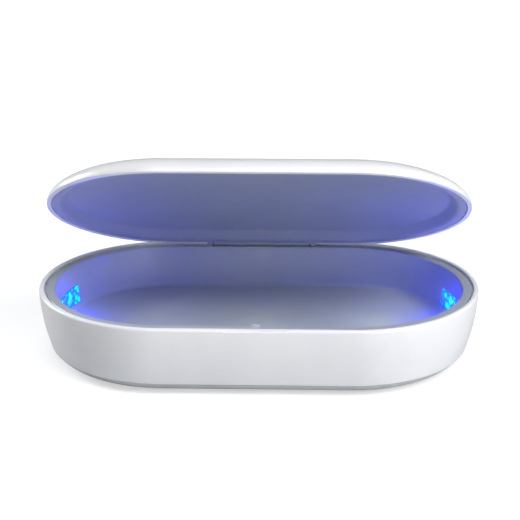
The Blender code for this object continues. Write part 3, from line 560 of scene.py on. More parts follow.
class Piece:
    """One modelled piece of the box and the operators that shape it."""

    def __init__(self, item: bpy.types.Object, name: str) -> None:
        """Take over a fresh object.

        Args:
            item: Blender object.
            name: Name for the object and its mesh.
        """
        self.item = item
        item.name = name
        item.data.name = name

    @property
    def name(self) -> str:
        """Name of the piece."""
        return self.item.name

    @classmethod
    def start(cls, name: str, kind: str, **settings) -> Piece:
        """Add a primitive with nothing else selected.

        Args:
            name: Name of the piece.
            kind: Primitive, such as cube or cylinder.
            settings: Sizes and place of the primitive.

        Returns:
            The new piece.
        """
        deselect()
        getattr(bpy.ops.mesh, f"primitive_{kind}_add")(**settings)
        piece = cls(bpy.context.object, name)
        piece.settle()
        return piece

    @classmethod
    def drawn(cls, name: str, points: Sequence[Vector], closed: bool) -> Piece:
        """Draw a line from point to point by extruding one corner.

        Args:
            name: Name of the piece.
            points: Places of the line's corners.
            closed: Whether the last corner joins the first.

        Returns:
            The piece, a line so far.
        """
        piece = cls.start(name, "plane", size=MM)
        with piece.editing("VERT"):
            bpy.ops.mesh.merge(type="CENTER")
            bpy.ops.transform.translate(value=points[0])
            for before, after in zip(points, points[1:]):
                bpy.ops.mesh.extrude_region_move(TRANSFORM_OT_translate={"value": after - before})
            if closed:
                piece.pick(lambda corner: len(corner.link_edges) == 1)
                bpy.ops.mesh.edge_face_add()
        return piece

    @classmethod
    def swept(cls, name: str, outline: Sequence[Point], closed: bool = True) -> Piece:
        """Spin an outline round the upright axis and draw the halves apart into a capsule.

        Args:
            name: Name of the piece.
            outline: Points of (inset, height).
            closed: Whether the outline closes on itself. An open one is filled at its ends.

        Returns:
            The closed piece.
        """
        half_step = math.pi / SWEEP_STEPS
        turned = Matrix.Rotation(half_step, 3, "Z")
        piece = cls.drawn(name, [turned @ Vector((END_RADIUS - inset, 0, z)) for inset, z in outline], closed)
        with piece.editing("VERT"):
            pick_all()
            bpy.ops.mesh.spin(steps=SWEEP_STEPS, angle=2 * math.pi, center=(0, 0, 0), axis=(0, 0, 1))
            piece.tidy()
            for side in (1, -1):
                piece.pick(lambda corner: corner.co.x * side > 0)
                bpy.ops.transform.translate(value=(side * STRAIGHT_HALF, 0, 0))
            pick_all()
            bpy.ops.mesh.fill_holes(sides=0)
            pick_all()
            bpy.ops.mesh.normals_make_consistent(inside=False)
        return piece

    @classmethod
    def end_sector(cls, name: str, side: Side, outline: Sequence[Point], half_angle: float, steps: int) -> Piece:
        """Spin a closed outline along a part of one round end.

        Args:
            name: Name of the piece.
            side: Which end.
            outline: Points of (inset, height).
            half_angle: Angle from the end's middle to either side.
            steps: Number of spans.

        Returns:
            The closed piece.
        """
        start = Matrix.Rotation(-half_angle + (math.pi if side is Side.LEFT else 0), 3, "Z")
        centre = Vector((side.value * STRAIGHT_HALF, 0, 0))
        points = [centre + start @ Vector((END_RADIUS - inset, 0, z)) for inset, z in outline]
        piece = cls.drawn(name, points, True)
        with piece.editing("VERT"):
            pick_all()
            bpy.ops.mesh.spin(steps=steps, angle=-2 * half_angle, center=centre, axis=(0, 0, 1))
            pick_all()
            bpy.ops.mesh.fill_holes(sides=0)
            piece.tidy()
        return piece

    @classmethod
    def bar(cls, name: str, start: Vector, end: Vector, radius: float, steps: int = 48) -> Piece:
        """Add a round bar between two points.

        Args:
            name: Name of the piece.
            start: Middle of one end.
            end: Middle of the other end.
            radius: Radius of the bar.
            steps: Number of faces round it.

        Returns:
            The bar.
        """
        way = end - start
        turn = way.to_track_quat("Z", "Y").to_euler()
        return cls.start(name, "cylinder", vertices=steps, radius=radius, depth=way.length,
                         location=(start + end) / 2, rotation=turn)

    @classmethod
    def pill(cls, name: str, middle: Vector, width: float, height: float, depth: float, steps: int = 48) -> Piece:
        """Add a bar of pill section along Y by drawing a round bar's halves apart.

        Args:
            name: Name of the piece.
            middle: Middle of the bar.
            width: Width along X.
            height: Height along Z.
            depth: Length along Y.
            steps: Number of faces round it.

        Returns:
            The bar.
        """
        piece = cls.start(name, "cylinder", vertices=steps, radius=height / 2, depth=depth,
                          rotation=(math.pi / 2, math.pi / steps, 0))
        with piece.editing("VERT"):
            for side in (1, -1):
                piece.pick(lambda corner: corner.co.x * side > 0)
                bpy.ops.transform.translate(value=(side * (width - height) / 2, 0, 0))
            pick_all()
            bpy.ops.transform.translate(value=middle)
        return piece

    @classmethod
    def block(cls, name: str, low: Sequence[float], high: Sequence[float]) -> Piece:
        """Add a box between two corners."""
        low, high = Vector(low), Vector(high)
        return cls.start(name, "cube", size=1, location=(low + high) / 2, scale=high - low)

    @classmethod
    def axle(cls, name: str, start: float, end: float, radius: float) -> Piece:
        """Add a round bar on the hinge's axis between two places along X."""
        return cls.bar(name, Vector((start, HINGE_Y, HINGE_Z)), Vector((end, HINGE_Y, HINGE_Z)), radius)

    def choose(self) -> None:
        """Select this piece alone and make it the active one."""
        deselect()
        self.item.select_set(True)
        bpy.context.view_layer.objects.active = self.item

    def remove(self) -> None:
        """Take the piece out of the scene."""
        bpy.data.objects.remove(self.item, do_unlink=True)

    def copy(self, name: str) -> Piece:
        """Copy the piece together with its mesh.

        Args:
            name: Name of the copy.

        Returns:
            The copy.
        """
        twin = self.item.copy()
        twin.data = self.item.data.copy()
        bpy.context.scene.collection.objects.link(twin)
        return Piece(twin, name)

    def move(self, place: Matrix) -> Piece:
        """Move the piece's mesh by a matrix.

        Args:
            place: Turn and shift of the whole piece.

        Returns:
            This piece.
        """
        self.choose()
        self.item.matrix_world = place
        self.settle()
        return self

    @contextmanager
    def editing(self, mode: str = "FACE") -> Iterator[None]:
        """Open the piece in edit mode and close it again.

        Args:
            mode: VERT, EDGE or FACE.

        Yields:
            Nothing.
        """
        self.choose()
        bpy.ops.object.mode_set(mode="EDIT")
        bpy.ops.mesh.select_mode(type=mode)
        yield
        bpy.ops.object.mode_set(mode="OBJECT")

    def pick(self, test: Callable[[object], bool]) -> None:
        """Select only the corners, edges or faces that pass a test, by the mode that is on.

        Args:
            test: Function of one corner, edge or face.
        """
        corner_mode, edge_mode, _ = bpy.context.tool_settings.mesh_select_mode
        bpy.ops.mesh.select_all(action="DESELECT")
        shape = bmesh.from_edit_mesh(self.item.data)
        for part in shape.verts if corner_mode else shape.edges if edge_mode else shape.faces:
            part.select_set(bool(test(part)))
        shape.select_flush_mode()
        bmesh.update_edit_mesh(self.item.data)

    def tidy(self) -> None:
        """Merge doubled corners and point the faces outwards, in edit mode."""
        pick_all()
        bpy.ops.mesh.remove_doubles(threshold=MM / 1000)
        bpy.ops.mesh.normals_make_consistent(inside=False)

    def settle(self) -> None:
        """Move the object's place, turn and scale into its mesh."""
        bpy.context.view_layer.objects.active = self.item
        bpy.ops.object.transform_apply(location=True, rotation=True, scale=True)

    def modify(self, kind: str, **settings) -> Piece:
        """Add a modifier and apply it.

        Args:
            kind: Blender's name of the modifier type.
            settings: Attributes of the modifier.

        Returns:
            This piece.
        """
        change = self.item.modifiers.new(kind.lower(), kind)
        for key, value in settings.items():
            setattr(change, key, value)
        self.choose()
        bpy.ops.object.modifier_apply(modifier=change.name)
        return self

    def combine(self, tools: Sequence[Piece], operation: str) -> Piece:
        """Cut tools out of this piece or join them to it, and remove them.

        Args:
            tools: Pieces that are used up.
            operation: DIFFERENCE or UNION.

        Returns:
            This piece.
        """
        for tool in tools:
            self.modify("BOOLEAN", object=tool.item, operation=operation, solver="EXACT")
            tool.remove()
        return self

    def round_edges(self, width: float, segments: int = 3, angle: float = 40.0) -> Piece:
        """Round the edges that are sharper than an angle in degrees."""
        return self.modify("BEVEL", width=width, segments=segments, limit_method="ANGLE",
                           angle_limit=math.radians(angle), harden_normals=False)

    def turn_open(self) -> Piece:
        """Turn a piece of the shut lid up to where the open lid stands.

        Returns:
            This piece.
        """
        with self.editing("VERT"):
            pick_all()
            bpy.ops.transform.rotate(value=LID_OPEN_ANGLE, orient_axis="X", center_override=(0, HINGE_Y, HINGE_Z))
        return self

    def finish(self, finish: Finish, body: Body, replaced: Sequence[str] = (), slot: str | None = None) -> Piece:
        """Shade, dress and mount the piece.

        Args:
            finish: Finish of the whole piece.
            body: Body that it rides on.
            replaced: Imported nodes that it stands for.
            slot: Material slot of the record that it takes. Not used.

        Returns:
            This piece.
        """
        self.choose()
        bpy.ops.object.shade_smooth_by_angle(angle=math.radians(32))
        self.item.data.materials.clear()
        self.item.data.materials.append(finish.build())
        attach(self.item, body.value)
        if replaced:
            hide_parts(*replaced)
        LOG.info("%s: %d faces, %s", self.name, len(self.item.data.polygons), finish.name)
        return self


def on_end(side: Side, angle: float, inset: float, z: float) -> Vector:
    """Return a point on a round end, at an angle from the end's middle."""
    reach = END_RADIUS - inset
    return Vector((side.value * (STRAIGHT_HALF + reach * math.cos(angle)), reach * math.sin(angle), z))


@dataclass
class BodyShell:
    """White body with its rounded rim, inner lip, finger recess and rear openings."""

    wall: float = 2.4 * MM
    rim_fillet: float = 1.2 * MM
    lip_fillet: float = 0.4 * MM
    ledge_top: float = 31.8 * MM
    ledge_width: float = 2.2 * MM
    ledge_height: float = 1.1 * MM
    ledge_foot: float = 3.7 * MM
    recess_width: float = 28.0 * MM
    recess_depth: float = 0.7 * MM
    recess_height: float = 0.9 * MM
    recess_fillet: float = 0.15 * MM
    port_size: Point = (9.6 * MM, 3.9 * MM)
    button_size: Point = (12.6 * MM, 4.0 * MM)
    light_radius: float = 1.3 * MM
    rows: int = 26

    def outline(self) -> list[Point]:
        """Draw the wall's section.

        Returns:
            The closed outline.
        """
        top = RIM_TOP - self.rim_fillet
        heights = [WALL_BOTTOM + (top - WALL_BOTTOM) * k / self.rows for k in range(self.rows + 1)]
        outer = [(wall_inset(z), z) for z in heights]
        rim = arc((self.rim_fillet + outer[-1][0], top), self.rim_fillet, 180, 90, 8)[1:]
        lip = arc((self.wall - self.lip_fillet, RIM_TOP - self.lip_fillet), self.lip_fillet, 90, 0, 4)
        reach = self.wall + self.ledge_width
        ledge = [(self.wall, self.ledge_top), (reach, self.ledge_top), (reach, self.ledge_top - self.ledge_height)]
        low = self.ledge_top - self.ledge_foot
        inner = [(wall_inset(z) + self.wall, z) for z in
                 (low + (WALL_BOTTOM - low) * k / self.rows for k in range(self.rows + 1))]
        return outer + rim + lip + ledge + inner

    def build(self) -> None:
        """Model the wall and cut its openings."""
        shell = Piece.swept("body_shell", self.outline())
        half = self.recess_width / 2
        recess = Piece.block("recess_tool", (-half, -END_RADIUS - OVERRUN, RIM_TOP - self.recess_height),
                             (half, -END_RADIUS + self.recess_depth, RIM_TOP + OVERRUN))
        recess.round_edges(self.recess_fillet)
        rear = Vector((0, END_RADIUS, REAR_Z))
        port = Piece.pill("port_tool", rear, *self.port_size, 2 * TOOL_REACH)
        button = Piece.pill("button_tool", rear + Vector((BUTTON_X, 0, 0)), *self.button_size, 2 * TOOL_REACH)
        light = Piece.bar("light_tool", Vector((LIGHT_X, END_RADIUS - TOOL_REACH, REAR_Z)),
                          Vector((LIGHT_X, END_RADIUS + TOOL_REACH, REAR_Z)), self.light_radius)
        reach = LUG_END + NOTCH_GAP
        hinge = Piece.axle("hinge_tool", -reach, reach, BARREL_RADIUS + NOTCH_GAP)
        shell.combine([recess, port, button, light, hinge], "DIFFERENCE")
        shell.finish(WHITE_ABS, Body.BASE, ["lower_housing"], "white")


@dataclass
class Foot:
    """Grey base under the body, with the silicone pad that covers its screws."""

    foot_height: float = 0.5 * MM
    foot_inset: float = 12.6 * MM
    top: float = 5.7 * MM
    edge_inset: float = 5.3 * MM
    side_shares: tuple[Point, ...] = ((0.16, 0.72), (0.55, 0.28))
    inside: tuple[Point, ...] = ((13.5 * MM, 2.7 * MM), (9.0 * MM, 4.0 * MM), (9.0 * MM, 6.6 * MM),
                                 (7.8 * MM, 6.6 * MM))
    head_radius: float = 2.9 * MM
    head_depth: float = 2.4 * MM
    hole_depth: float = 6.0 * MM
    pad_inset: float = 15.0 * MM
    pad_gap: float = 0.3 * MM
    pad_top: float = 0.6 * MM
    pad_seat: float = 0.9 * MM
    pad_fillet: float = 0.25 * MM

    def outline(self) -> list[Point]:
        """Draw the base's section.

        Returns:
            The outline, from the foot up the outside and back inside.
        """
        run = self.foot_inset - self.edge_inset
        drop = self.top - self.foot_height
        slope = [(self.edge_inset + a * run, self.foot_height + b * drop) for a, b in self.side_shares]
        side = smooth_line([(self.edge_inset, self.top), *slope, (self.foot_inset, self.foot_height)], 5)
        brink = self.pad_inset - self.pad_gap
        inside = [*self.inside, (self.inside[-1][0], self.top)]
        return [(brink, self.pad_seat), (brink, self.foot_height), *reversed(side), *reversed(inside)]

    def build(self) -> None:
        """Model the base with its screw holes, and the pad."""
        base = Piece.swept("base_shell", self.outline(), closed=False)
        tools = []
        for spot in SCREW_PLACES:
            tools.append(Piece.bar("head_tool", spot, spot + Vector((0, 0, self.head_depth)), self.head_radius))
            tools.append(Piece.bar("hole_tool", spot, spot + Vector((0, 0, self.hole_depth)), SCREW_HOLE_RADIUS))
        base.combine(tools, "DIFFERENCE")
        base.finish(BASE_ABS, Body.BASE, ["base_cover"], "base_grey")
        corner = (self.pad_inset + self.pad_fillet, self.pad_fillet)
        rows = [(self.pad_inset, self.pad_top), *arc(corner, self.pad_fillet, 180, 270, 4)]
        pad = Piece.swept("foot_pad", rows, closed=False)
        pad.finish(PAD_SILICONE, Body.BASE, ["anti_slip_pad"], "silicone")


@dataclass
class Tray:
    """Grey-blue tray with its flange, lamp windows and hinge lugs."""

    wall: float = 1.6 * MM
    outer_inset: float = 3.3 * MM
    edge_fillet: float = 0.5 * MM
    rim_chamfer: float = 0.15 * MM
    floor_fillet: float = 2.6 * MM
    window_reach: float = 21.0 * MM
    lug_foot_bottom: float = 32.6 * MM
    lug_foot_back: float = 59.2 * MM
    boss_bottom: float = 3.0 * MM
    boss_height: float = 9.2 * MM
    boss_radius: float = 3.2 * MM
    pilot_height: float = 8.1 * MM

    def outline(self) -> list[Point]:
        """Draw the tray's section.

        Returns:
            The outline, from the middle of the floor to the middle below it.
        """
        edge = arc((FLANGE_INNER_INSET - self.edge_fillet, FLANGE_TOP - self.edge_fillet), self.edge_fillet, 0, 90, 5)
        corner = (tray_inset(TRAY_FLOOR) + self.floor_fillet, TRAY_FLOOR + self.floor_fillet)
        floor = arc(corner, self.floor_fillet, 270, 180, 10)
        under = FLANGE_TOP - self.wall
        flange = [(self.outer_inset + self.rim_chamfer, FLANGE_TOP),
                  (self.outer_inset, FLANGE_TOP - self.rim_chamfer),
                  (self.outer_inset, under), (tray_inset(under) - self.wall, under)]
        below = arc(corner, self.floor_fillet + self.wall, 180, 270, 8)
        return floor + edge + flange + below

    def build(self) -> None:
        """Model the tray, join its lugs and cut its windows."""
        tray = Piece.swept("tray_liner", self.outline(), closed=False)
        joins, cuts = [], []
        deep = self.window_reach
        for side in Side:
            frame_line = [(0, WINDOW_BOTTOM), (deep, WINDOW_BOTTOM), (deep, WINDOW_TOP), (0, WINDOW_TOP)]
            cuts.append(Piece.end_sector(f"window_tool_{side.label}", side, frame_line, WINDOW_HALF_ANGLE, 40))
            near, far = side.value * LUG_START, side.value * LUG_END
            lug = Piece.axle(f"lug_{side.label}", near, far, BARREL_RADIUS)
            # The lug's foot spreads to four fifths of its radius and reaches up to its lower third.
            foot = Piece.block(f"lug_foot_{side.label}",
                               (min(near, far), HINGE_Y - 0.8 * BARREL_RADIUS, self.lug_foot_bottom),
                               (max(near, far), self.lug_foot_back, HINGE_Z - 0.35 * BARREL_RADIUS))
            joins += [lug, foot]
        cuts.append(Piece.axle("bore_tool", -BORE_HALF, BORE_HALF, BORE_RADIUS))
        reach = BARREL_HALF + NOTCH_GAP
        cuts.append(Piece.axle("trough_tool", -reach, reach, BARREL_RADIUS + NOTCH_GAP))
        tray.combine(joins, "UNION")
        for place in SCREW_PLACES:
            spot = Vector((place.x, place.y, self.boss_bottom))
            top = spot + Vector((0, 0, self.boss_height))
            tray.combine([Piece.bar("boss", spot, top, self.boss_radius)], "UNION")
            cuts.append(Piece.bar("pilot_tool", spot - Vector((0, 0, OVERRUN)),
                                  spot + Vector((0, 0, self.pilot_height)), SCREW_HOLE_RADIUS))
        tray.combine(cuts, "DIFFERENCE")
        tray.finish(TRAY_ABS, Body.BASE, ["liner_tray"], "liner")


@dataclass
class LampBay:
    """Lamps, plated cup and faceted lens behind one window of the tray."""

    side: Side
    angles: tuple[float, ...] = (-18.0, -6.0, 6.0, 18.0)
    cup_inset: float = 6.6 * MM
    cup_wall: float = 0.8 * MM
    cup_margin: float = 0.7 * MM
    cup_half_angle: float = math.radians(29.0)
    facets: int = 10
    facet_edge: float = 1.1 * MM
    facet_height: float = 0.25 * MM
    lens_gap: float = 0.3 * MM
    lens_wall: float = 1.0 * MM
    lens_end_angle: float = math.radians(0.3)
    lamp_hole: float = 4.0 * MM
    lamp_size: float = 3.4 * MM
    lamp_base: float = 0.5 * MM
    lamp_edge: float = 0.6 * MM
    lamp_dome: float = 0.3 * MM
    lamp_fillet: float = 0.12 * MM

    def lens(self) -> None:
        """Model the lens as a curved strip with two rows of raised facets."""
        low, high = WINDOW_BOTTOM + self.lens_gap, WINDOW_TOP - self.lens_gap
        fronts = [(tray_inset(z), z) for z in (low, (low + high) / 2, high)]
        outline = [(tray_inset(low) - self.lens_wall, low), *fronts, (tray_inset(high) - self.lens_wall, high)]
        half_angle = WINDOW_HALF_ANGLE - self.lens_end_angle
        lens = Piece.end_sector(f"faceted_lens_{self.side.label}", self.side, outline, half_angle, self.facets)
        with lens.editing("FACE"):
            lens.pick(lambda face: face.normal.x * self.side.value < -0.7)
            bpy.ops.mesh.inset(thickness=self.facet_edge, depth=self.facet_height, use_individual=True)
        lens.finish(LENS_ACRYLIC, Body.BASE, [f"uv_lens_{self.side.label}"], "lens")

    def cup(self) -> None:
        """Model the plated cup with a square hole for each lamp."""
        low, high = WINDOW_BOTTOM - self.cup_margin, WINDOW_TOP + self.cup_margin
        back, front = self.cup_inset, self.cup_inset + self.cup_wall
        outline = [(back, low), (front, low), (front, high), (back, high)]
        cup = Piece.end_sector(f"plated_cup_{self.side.label}", self.side, outline, self.cup_half_angle, 48)
        first = Piece.start("lamp_tool", "cube", size=self.lamp_hole)
        tools = [first.copy(f"lamp_tool_{number}").move(self.seat(degrees, front))
                 for number, degrees in enumerate(self.angles, 1)]
        first.remove()
        cup.combine(tools, "DIFFERENCE")
        # The cup's finish is a painted glow, standing in for the lamps' light reflected by its plating.
        cup.finish(CUP_PAINTED_GLOW, Body.BASE, [f"uv_reflector_{self.side.label}"], "mirror")

    def seat(self, degrees: float, inset: float) -> Matrix:
        """Return the place of a lamp on the end, with its face to the tray.

        Args:
            degrees: Angle from the end's middle.
            inset: Inset of the lamp's middle.

        Returns:
            Turn and shift from the origin.
        """
        angle = math.radians(degrees)
        heading = angle if self.side is Side.RIGHT else math.pi - angle
        return Matrix.Translation(on_end(self.side, angle, inset, LAMP_Z)) @ Matrix.Rotation(heading, 4, "Z")

    def lamps(self) -> None:
        """Model one lamp chip, a base with a raised and rounded lens, and copy it to each place."""
        first = Piece.start("lamp_chip", "cube", size=1, scale=(self.lamp_base, self.lamp_size, self.lamp_size))
        with first.editing("FACE"):
            first.pick(lambda face: face.normal.x < -0.9)
            bpy.ops.mesh.inset(thickness=self.lamp_edge)
            bpy.ops.mesh.extrude_region_move(TRANSFORM_OT_translate={"value": (-self.lamp_dome, 0, 0)})
        first.round_edges(self.lamp_fillet, 2)
        for number, degrees in enumerate(self.angles, 1):
            seat = self.seat(degrees, self.cup_inset + self.lamp_base / 2)
            lamp = first.copy(f"lamp_chip_{self.side.label}_{number}").move(seat)
            lamp.finish(LAMP_LIGHT, Body.BASE, [f"uv_lamp_{self.side.label}_{number}"], "lamp")
        first.remove()

    def build(self) -> None:
        """Model the bay."""
        self.lens()
        self.cup()
        self.lamps()


@dataclass
class LidSensor:
    """Pale dome in the tray's front flange, over the sensor that feels the lid, with its hump on the tray's edge."""

    length: float = 5.0 * MM
    width: float = 2.4 * MM
    inset: float = 6.5 * MM
    low: float = 33.1 * MM
    top: float = 34.1 * MM
    hump_inset: float = 8.1 * MM
    hump_width: float = 2.4 * MM
    hump_top: float = 34.4 * MM

    def ball(self, name: str, inset: float, width: float, low: float, top: float) -> Piece:
        """Model the upper half of a squashed ball.

        Args:
            name: Name of the piece.
            inset: Inset of its middle.
            width: Size along Y.
            low: Height of its flat underside.
            top: Height of its top.

        Returns:
            The half ball.
        """
        ball = Piece.start(name, "uv_sphere", segments=40, ring_count=20, radius=1,
                           location=(0, inset - END_RADIUS, low), scale=(self.length / 2, width / 2, top - low))
        with ball.editing("FACE"):
            pick_all()
            bpy.ops.mesh.bisect(plane_co=(0, 0, low), plane_no=(0, 0, 1), clear_inner=True, use_fill=True)
            ball.tidy()
        return ball

    def build(self) -> None:
        """Model the dome and the hump as one moulding."""
        dome = self.ball("sensor_dome", self.inset, self.width, self.low, self.top)
        hump = self.ball("sensor_hump", self.hump_inset, self.hump_width, self.low, self.hump_top)
        dome.combine([hump], "UNION")
        dome.finish(PIPE_POLYCARBONATE, Body.BASE, ["lid_sensor_window"], "milky")


@dataclass
class Lid:
    """Domed white lid and its grey-blue lining with the hinge barrel."""

    wall: float = 2.3 * MM
    skirt: float = 0.6 * MM
    run: float = 50.0 * MM
    rise: float = 15.5 * MM
    rows: int = 30
    edge_points: tuple[Point, ...] = ((0.5 * MM, 0.0), (0.15 * MM, 0.15 * MM), (0.0, 0.5 * MM))
    inner_chamfer: float = 0.2 * MM
    mouth_height: float = 2.4 * MM
    groove: float = 0.25 * MM
    lining_lift: float = 0.3 * MM
    lining_edge: tuple[Point, ...] = ((0.12 * MM, 0.02 * MM), (0.0, 0.15 * MM))
    web_height: float = 1.8 * MM
    lining_wall: float = 1.2 * MM
    lining_depth: float = 8.7 * MM
    lining_shares: tuple[Point, ...] = ((0.0, 0.138), (0.034, 0.15), (0.064, 0.175), (0.086, 0.26), (0.118, 0.44),
                                        (0.15, 0.59), (0.185, 0.66), (0.3, 0.745), (0.552, 0.89), (0.764, 0.967),
                                        (1.0, 1.0))

    def dome(self) -> list[Point]:
        """Draw the lid's outside.

        Returns:
            The outline, from the edge to the middle.
        """
        foot = LID_BOTTOM + self.skirt
        turn = [math.pi / 2 * k / self.rows for k in range(self.rows + 1)]
        return [(LID_INSET + self.run * (1 - math.cos(a)), foot + self.rise * math.sin(a)) for a in turn]

    def notch_tools(self) -> list[Piece]:
        """Make the tools that clear the barrel and its web out of the shell.

        Returns:
            A bar round the hinge and a block in front of it.
        """
        reach = LUG_END + NOTCH_GAP
        bar = Piece.axle("notch_tool", -reach, reach, BARREL_RADIUS + NOTCH_GAP)
        mouth = Piece.block("mouth_tool", (-reach, HINGE_Y - WEB_DEPTH, LID_BOTTOM - OVERRUN),
                            (reach, HINGE_Y, LID_BOTTOM + self.mouth_height))
        return [bar, mouth]

    def shell(self) -> None:
        """Model the white shell."""
        outer = self.dome()
        inner = inner_line(outer, self.wall)
        rim = [(LID_INSET + self.wall, LID_BOTTOM + self.inner_chamfer),
               (LID_INSET + self.wall - self.inner_chamfer, LID_BOTTOM),
               *[(LID_INSET + a, LID_BOTTOM + b) for a, b in self.edge_points]]
        shell = Piece.swept("lid_dome", [*reversed(inner), *rim, *outer], closed=False)
        shell.combine(self.notch_tools(), "DIFFERENCE")
        shell.turn_open().finish(WHITE_ABS, Body.LID, ["lid_shell"], "white")

    def lining(self) -> None:
        """Model the lining and the barrel that turns on the pin."""
        rim = LID_INSET + self.wall + self.groove
        run = LID_INSET + self.run - rim
        bottom = LID_BOTTOM + self.lining_lift
        spots = [(rim + run * a, bottom + self.lining_depth * b) for a, b in self.lining_shares]
        upper = smooth_line(spots, 4)
        lower = inner_line(upper, self.lining_wall)
        edge = [(rim + a, bottom + b) for a, b in self.lining_edge]
        lining = Piece.swept("lid_lining", [*reversed(lower), *edge, *upper], closed=False)
        barrel = Piece.axle("barrel", -BARREL_HALF, BARREL_HALF, BARREL_RADIUS)
        web = Piece.block("web", (-BARREL_HALF, HINGE_Y - WEB_DEPTH, bottom),
                          (BARREL_HALF, HINGE_Y - BARREL_RADIUS / 2, bottom + self.web_height))
        bore = Piece.axle("bore_tool", -BORE_HALF, BORE_HALF, BORE_RADIUS)
        lining.combine([barrel, web], "UNION")
        lining.combine([bore], "DIFFERENCE")
        lining.turn_open().finish(LINING_ABS, Body.LID, ["lid_liner"], "liner")

    def build(self) -> None:
        """Model the lid."""
        self.shell()
        self.lining()


@dataclass
class HingePin:
    """Steel pin with rounded ends, held by the tray's lugs."""

    radius: float = 1.0 * MM
    half: float = 28.1 * MM
    end_fillet: float = 0.35 * MM

    def build(self) -> None:
        """Model the pin."""
        pin = Piece.axle("steel_pin", -self.half, self.half, self.radius)
        pin.round_edges(self.end_fillet, 4).finish(PIN_STEEL, Body.BASE, ["hinge_pin"], "steel")


@dataclass
class RearControls:
    """Power button, charging socket and status light in the back wall."""

    button_back: float = 54.62 * MM
    button_face: float = 59.92 * MM
    cap_size: Point = (12.0 * MM, 3.4 * MM)
    cap_fillet: float = 0.3 * MM
    cap_hollow: tuple[Point, ...] = ((0.7 * MM, 0.12 * MM), (0.5 * MM, 0.08 * MM))
    flange_size: Point = (12.6 * MM, 4.0 * MM)
    flange_depth: float = 1.1 * MM
    mouth: float = 58.72 * MM
    socket_size: Point = (8.9 * MM, 3.2 * MM)
    socket_depth: float = 7.3 * MM
    socket_fillet: float = 0.08 * MM
    hollow_size: Point = (8.3 * MM, 2.6 * MM)
    hollow_back: float = 0.4 * MM
    tongue_half: Point = (3.35 * MM, 0.35 * MM)
    tongue_span: Point = (6.95 * MM, 1.5 * MM)
    tongue_fillet: float = 0.15 * MM
    contacts: int = 6
    contact_half: tuple[float, float, float] = (0.2 * MM, 1.75 * MM, 0.05 * MM)
    contact_depth: float = 3.75 * MM
    contact_height: float = 0.36 * MM
    contact_fillet: float = 0.03 * MM
    pipe_span: Point = (53.52 * MM, 59.02 * MM)
    pipe_radius: float = 1.0 * MM
    pipe_fillet: float = 0.35 * MM
    round_steps: int = 64

    def button(self) -> None:
        """Model the button with a shallow hollow for the fingertip."""
        seat = self.flange_depth / 2
        middle = Vector((BUTTON_X, (self.button_back + seat + self.button_face) / 2, REAR_Z))
        cap = Piece.pill("button_cap", middle, *self.cap_size, self.button_face - self.button_back - seat,
                         self.round_steps)
        with cap.editing("FACE"):
            cap.pick(lambda face: face.normal.y > 0.9)
            for edge, depth in self.cap_hollow:
                bpy.ops.mesh.inset(thickness=edge)
                bpy.ops.transform.translate(value=(0, -depth, 0))
        cap.round_edges(self.cap_fillet, 4, 50.0)
        flange = Piece.pill("button_rim", Vector((BUTTON_X, self.button_back + seat, REAR_Z)), *self.flange_size,
                            self.flange_depth, self.round_steps)
        cap.combine([flange], "UNION").finish(BUTTON_ABS, Body.BUTTON, ["power_button"], "button")

    def socket(self) -> None:
        """Model the socket's steel shell, its tongue and the contacts."""
        depth, steps = self.socket_depth, self.round_steps
        middle = Vector((0, self.mouth - depth / 2, REAR_Z))
        shell = Piece.pill("socket_shell", middle, *self.socket_size, depth, steps)
        shell.round_edges(self.socket_fillet, 2, 60.0)
        place = middle + Vector((0, self.hollow_back, 0))
        hollow = Piece.pill("hollow_tool", place, *self.hollow_size, depth, steps)
        shell.combine([hollow], "DIFFERENCE")
        shell.finish(SOCKET_STEEL, Body.BASE, ["usb_c_socket"], "steel")
        width, height = self.tongue_half
        back, front = self.tongue_span
        tongue = Piece.block("socket_tongue", (-width, self.mouth - back, REAR_Z - height),
                             (width, self.mouth - front, REAR_Z + height))
        tongue.round_edges(self.tongue_fillet).finish(CHIP_EPOXY, Body.BASE, slot="chip")
        first = Piece.block("contact", [-half for half in self.contact_half], self.contact_half)
        first.round_edges(self.contact_fillet, 2)
        for row, z in (("upper", self.contact_height), ("lower", -self.contact_height)):
            for number in range(self.contacts):
                # The contacts stand 1 mm apart.
                spot = Vector(((number - (self.contacts - 1) / 2) * MM, self.mouth - self.contact_depth, REAR_Z + z))
                contact = first.copy(f"contact_{row}_{number + 1}").move(Matrix.Translation(spot))
                contact.finish(CONTACT_GOLD, Body.BASE, slot="steel")
        first.remove()

    def light(self) -> None:
        """Model the light pipe with a domed end."""
        start, end = (Vector((LIGHT_X, y, REAR_Z)) for y in self.pipe_span)
        pipe = Piece.bar("light_pipe", start, end, self.pipe_radius)
        pipe.round_edges(self.pipe_fillet, 4).finish(PIPE_POLYCARBONATE, Body.BASE, ["status_light_pipe"], "milky")

    def build(self) -> None:
        """Model the controls."""
        self.button()
        self.socket()
        self.light()


@dataclass
class Workings:
    """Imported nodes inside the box, which keep their shape and get their finishes."""

    finishes: dict[str, Finish] = field(default_factory=lambda: {
        "main_circuit_board": BOARD_MASK, "uv_lamp_board": BOARD_MASK, "control_chip": CHIP_EPOXY,
        "power_switch": CHIP_EPOXY, "lid_sensor": CHIP_EPOXY, "status_lamp": STATUS_LIGHT, "cable_plug": PLUG_NYLON,
        "lamp_cable": CABLE_VINYL, "base_screw": SCREW_STEEL, "board_screw": SCREW_STEEL,
    })

    def build(self) -> None:
        """Give each node its finish."""
        for name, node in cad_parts.items():
            for start, finish in self.finishes.items():
                if name == start or name.startswith(f"{start}_") and name != "lid_sensor_window":
                    for slot in node.material_slots:
                        slot.material = finish.build()
                    LOG.info("%s: kept, %s", name, finish.name)


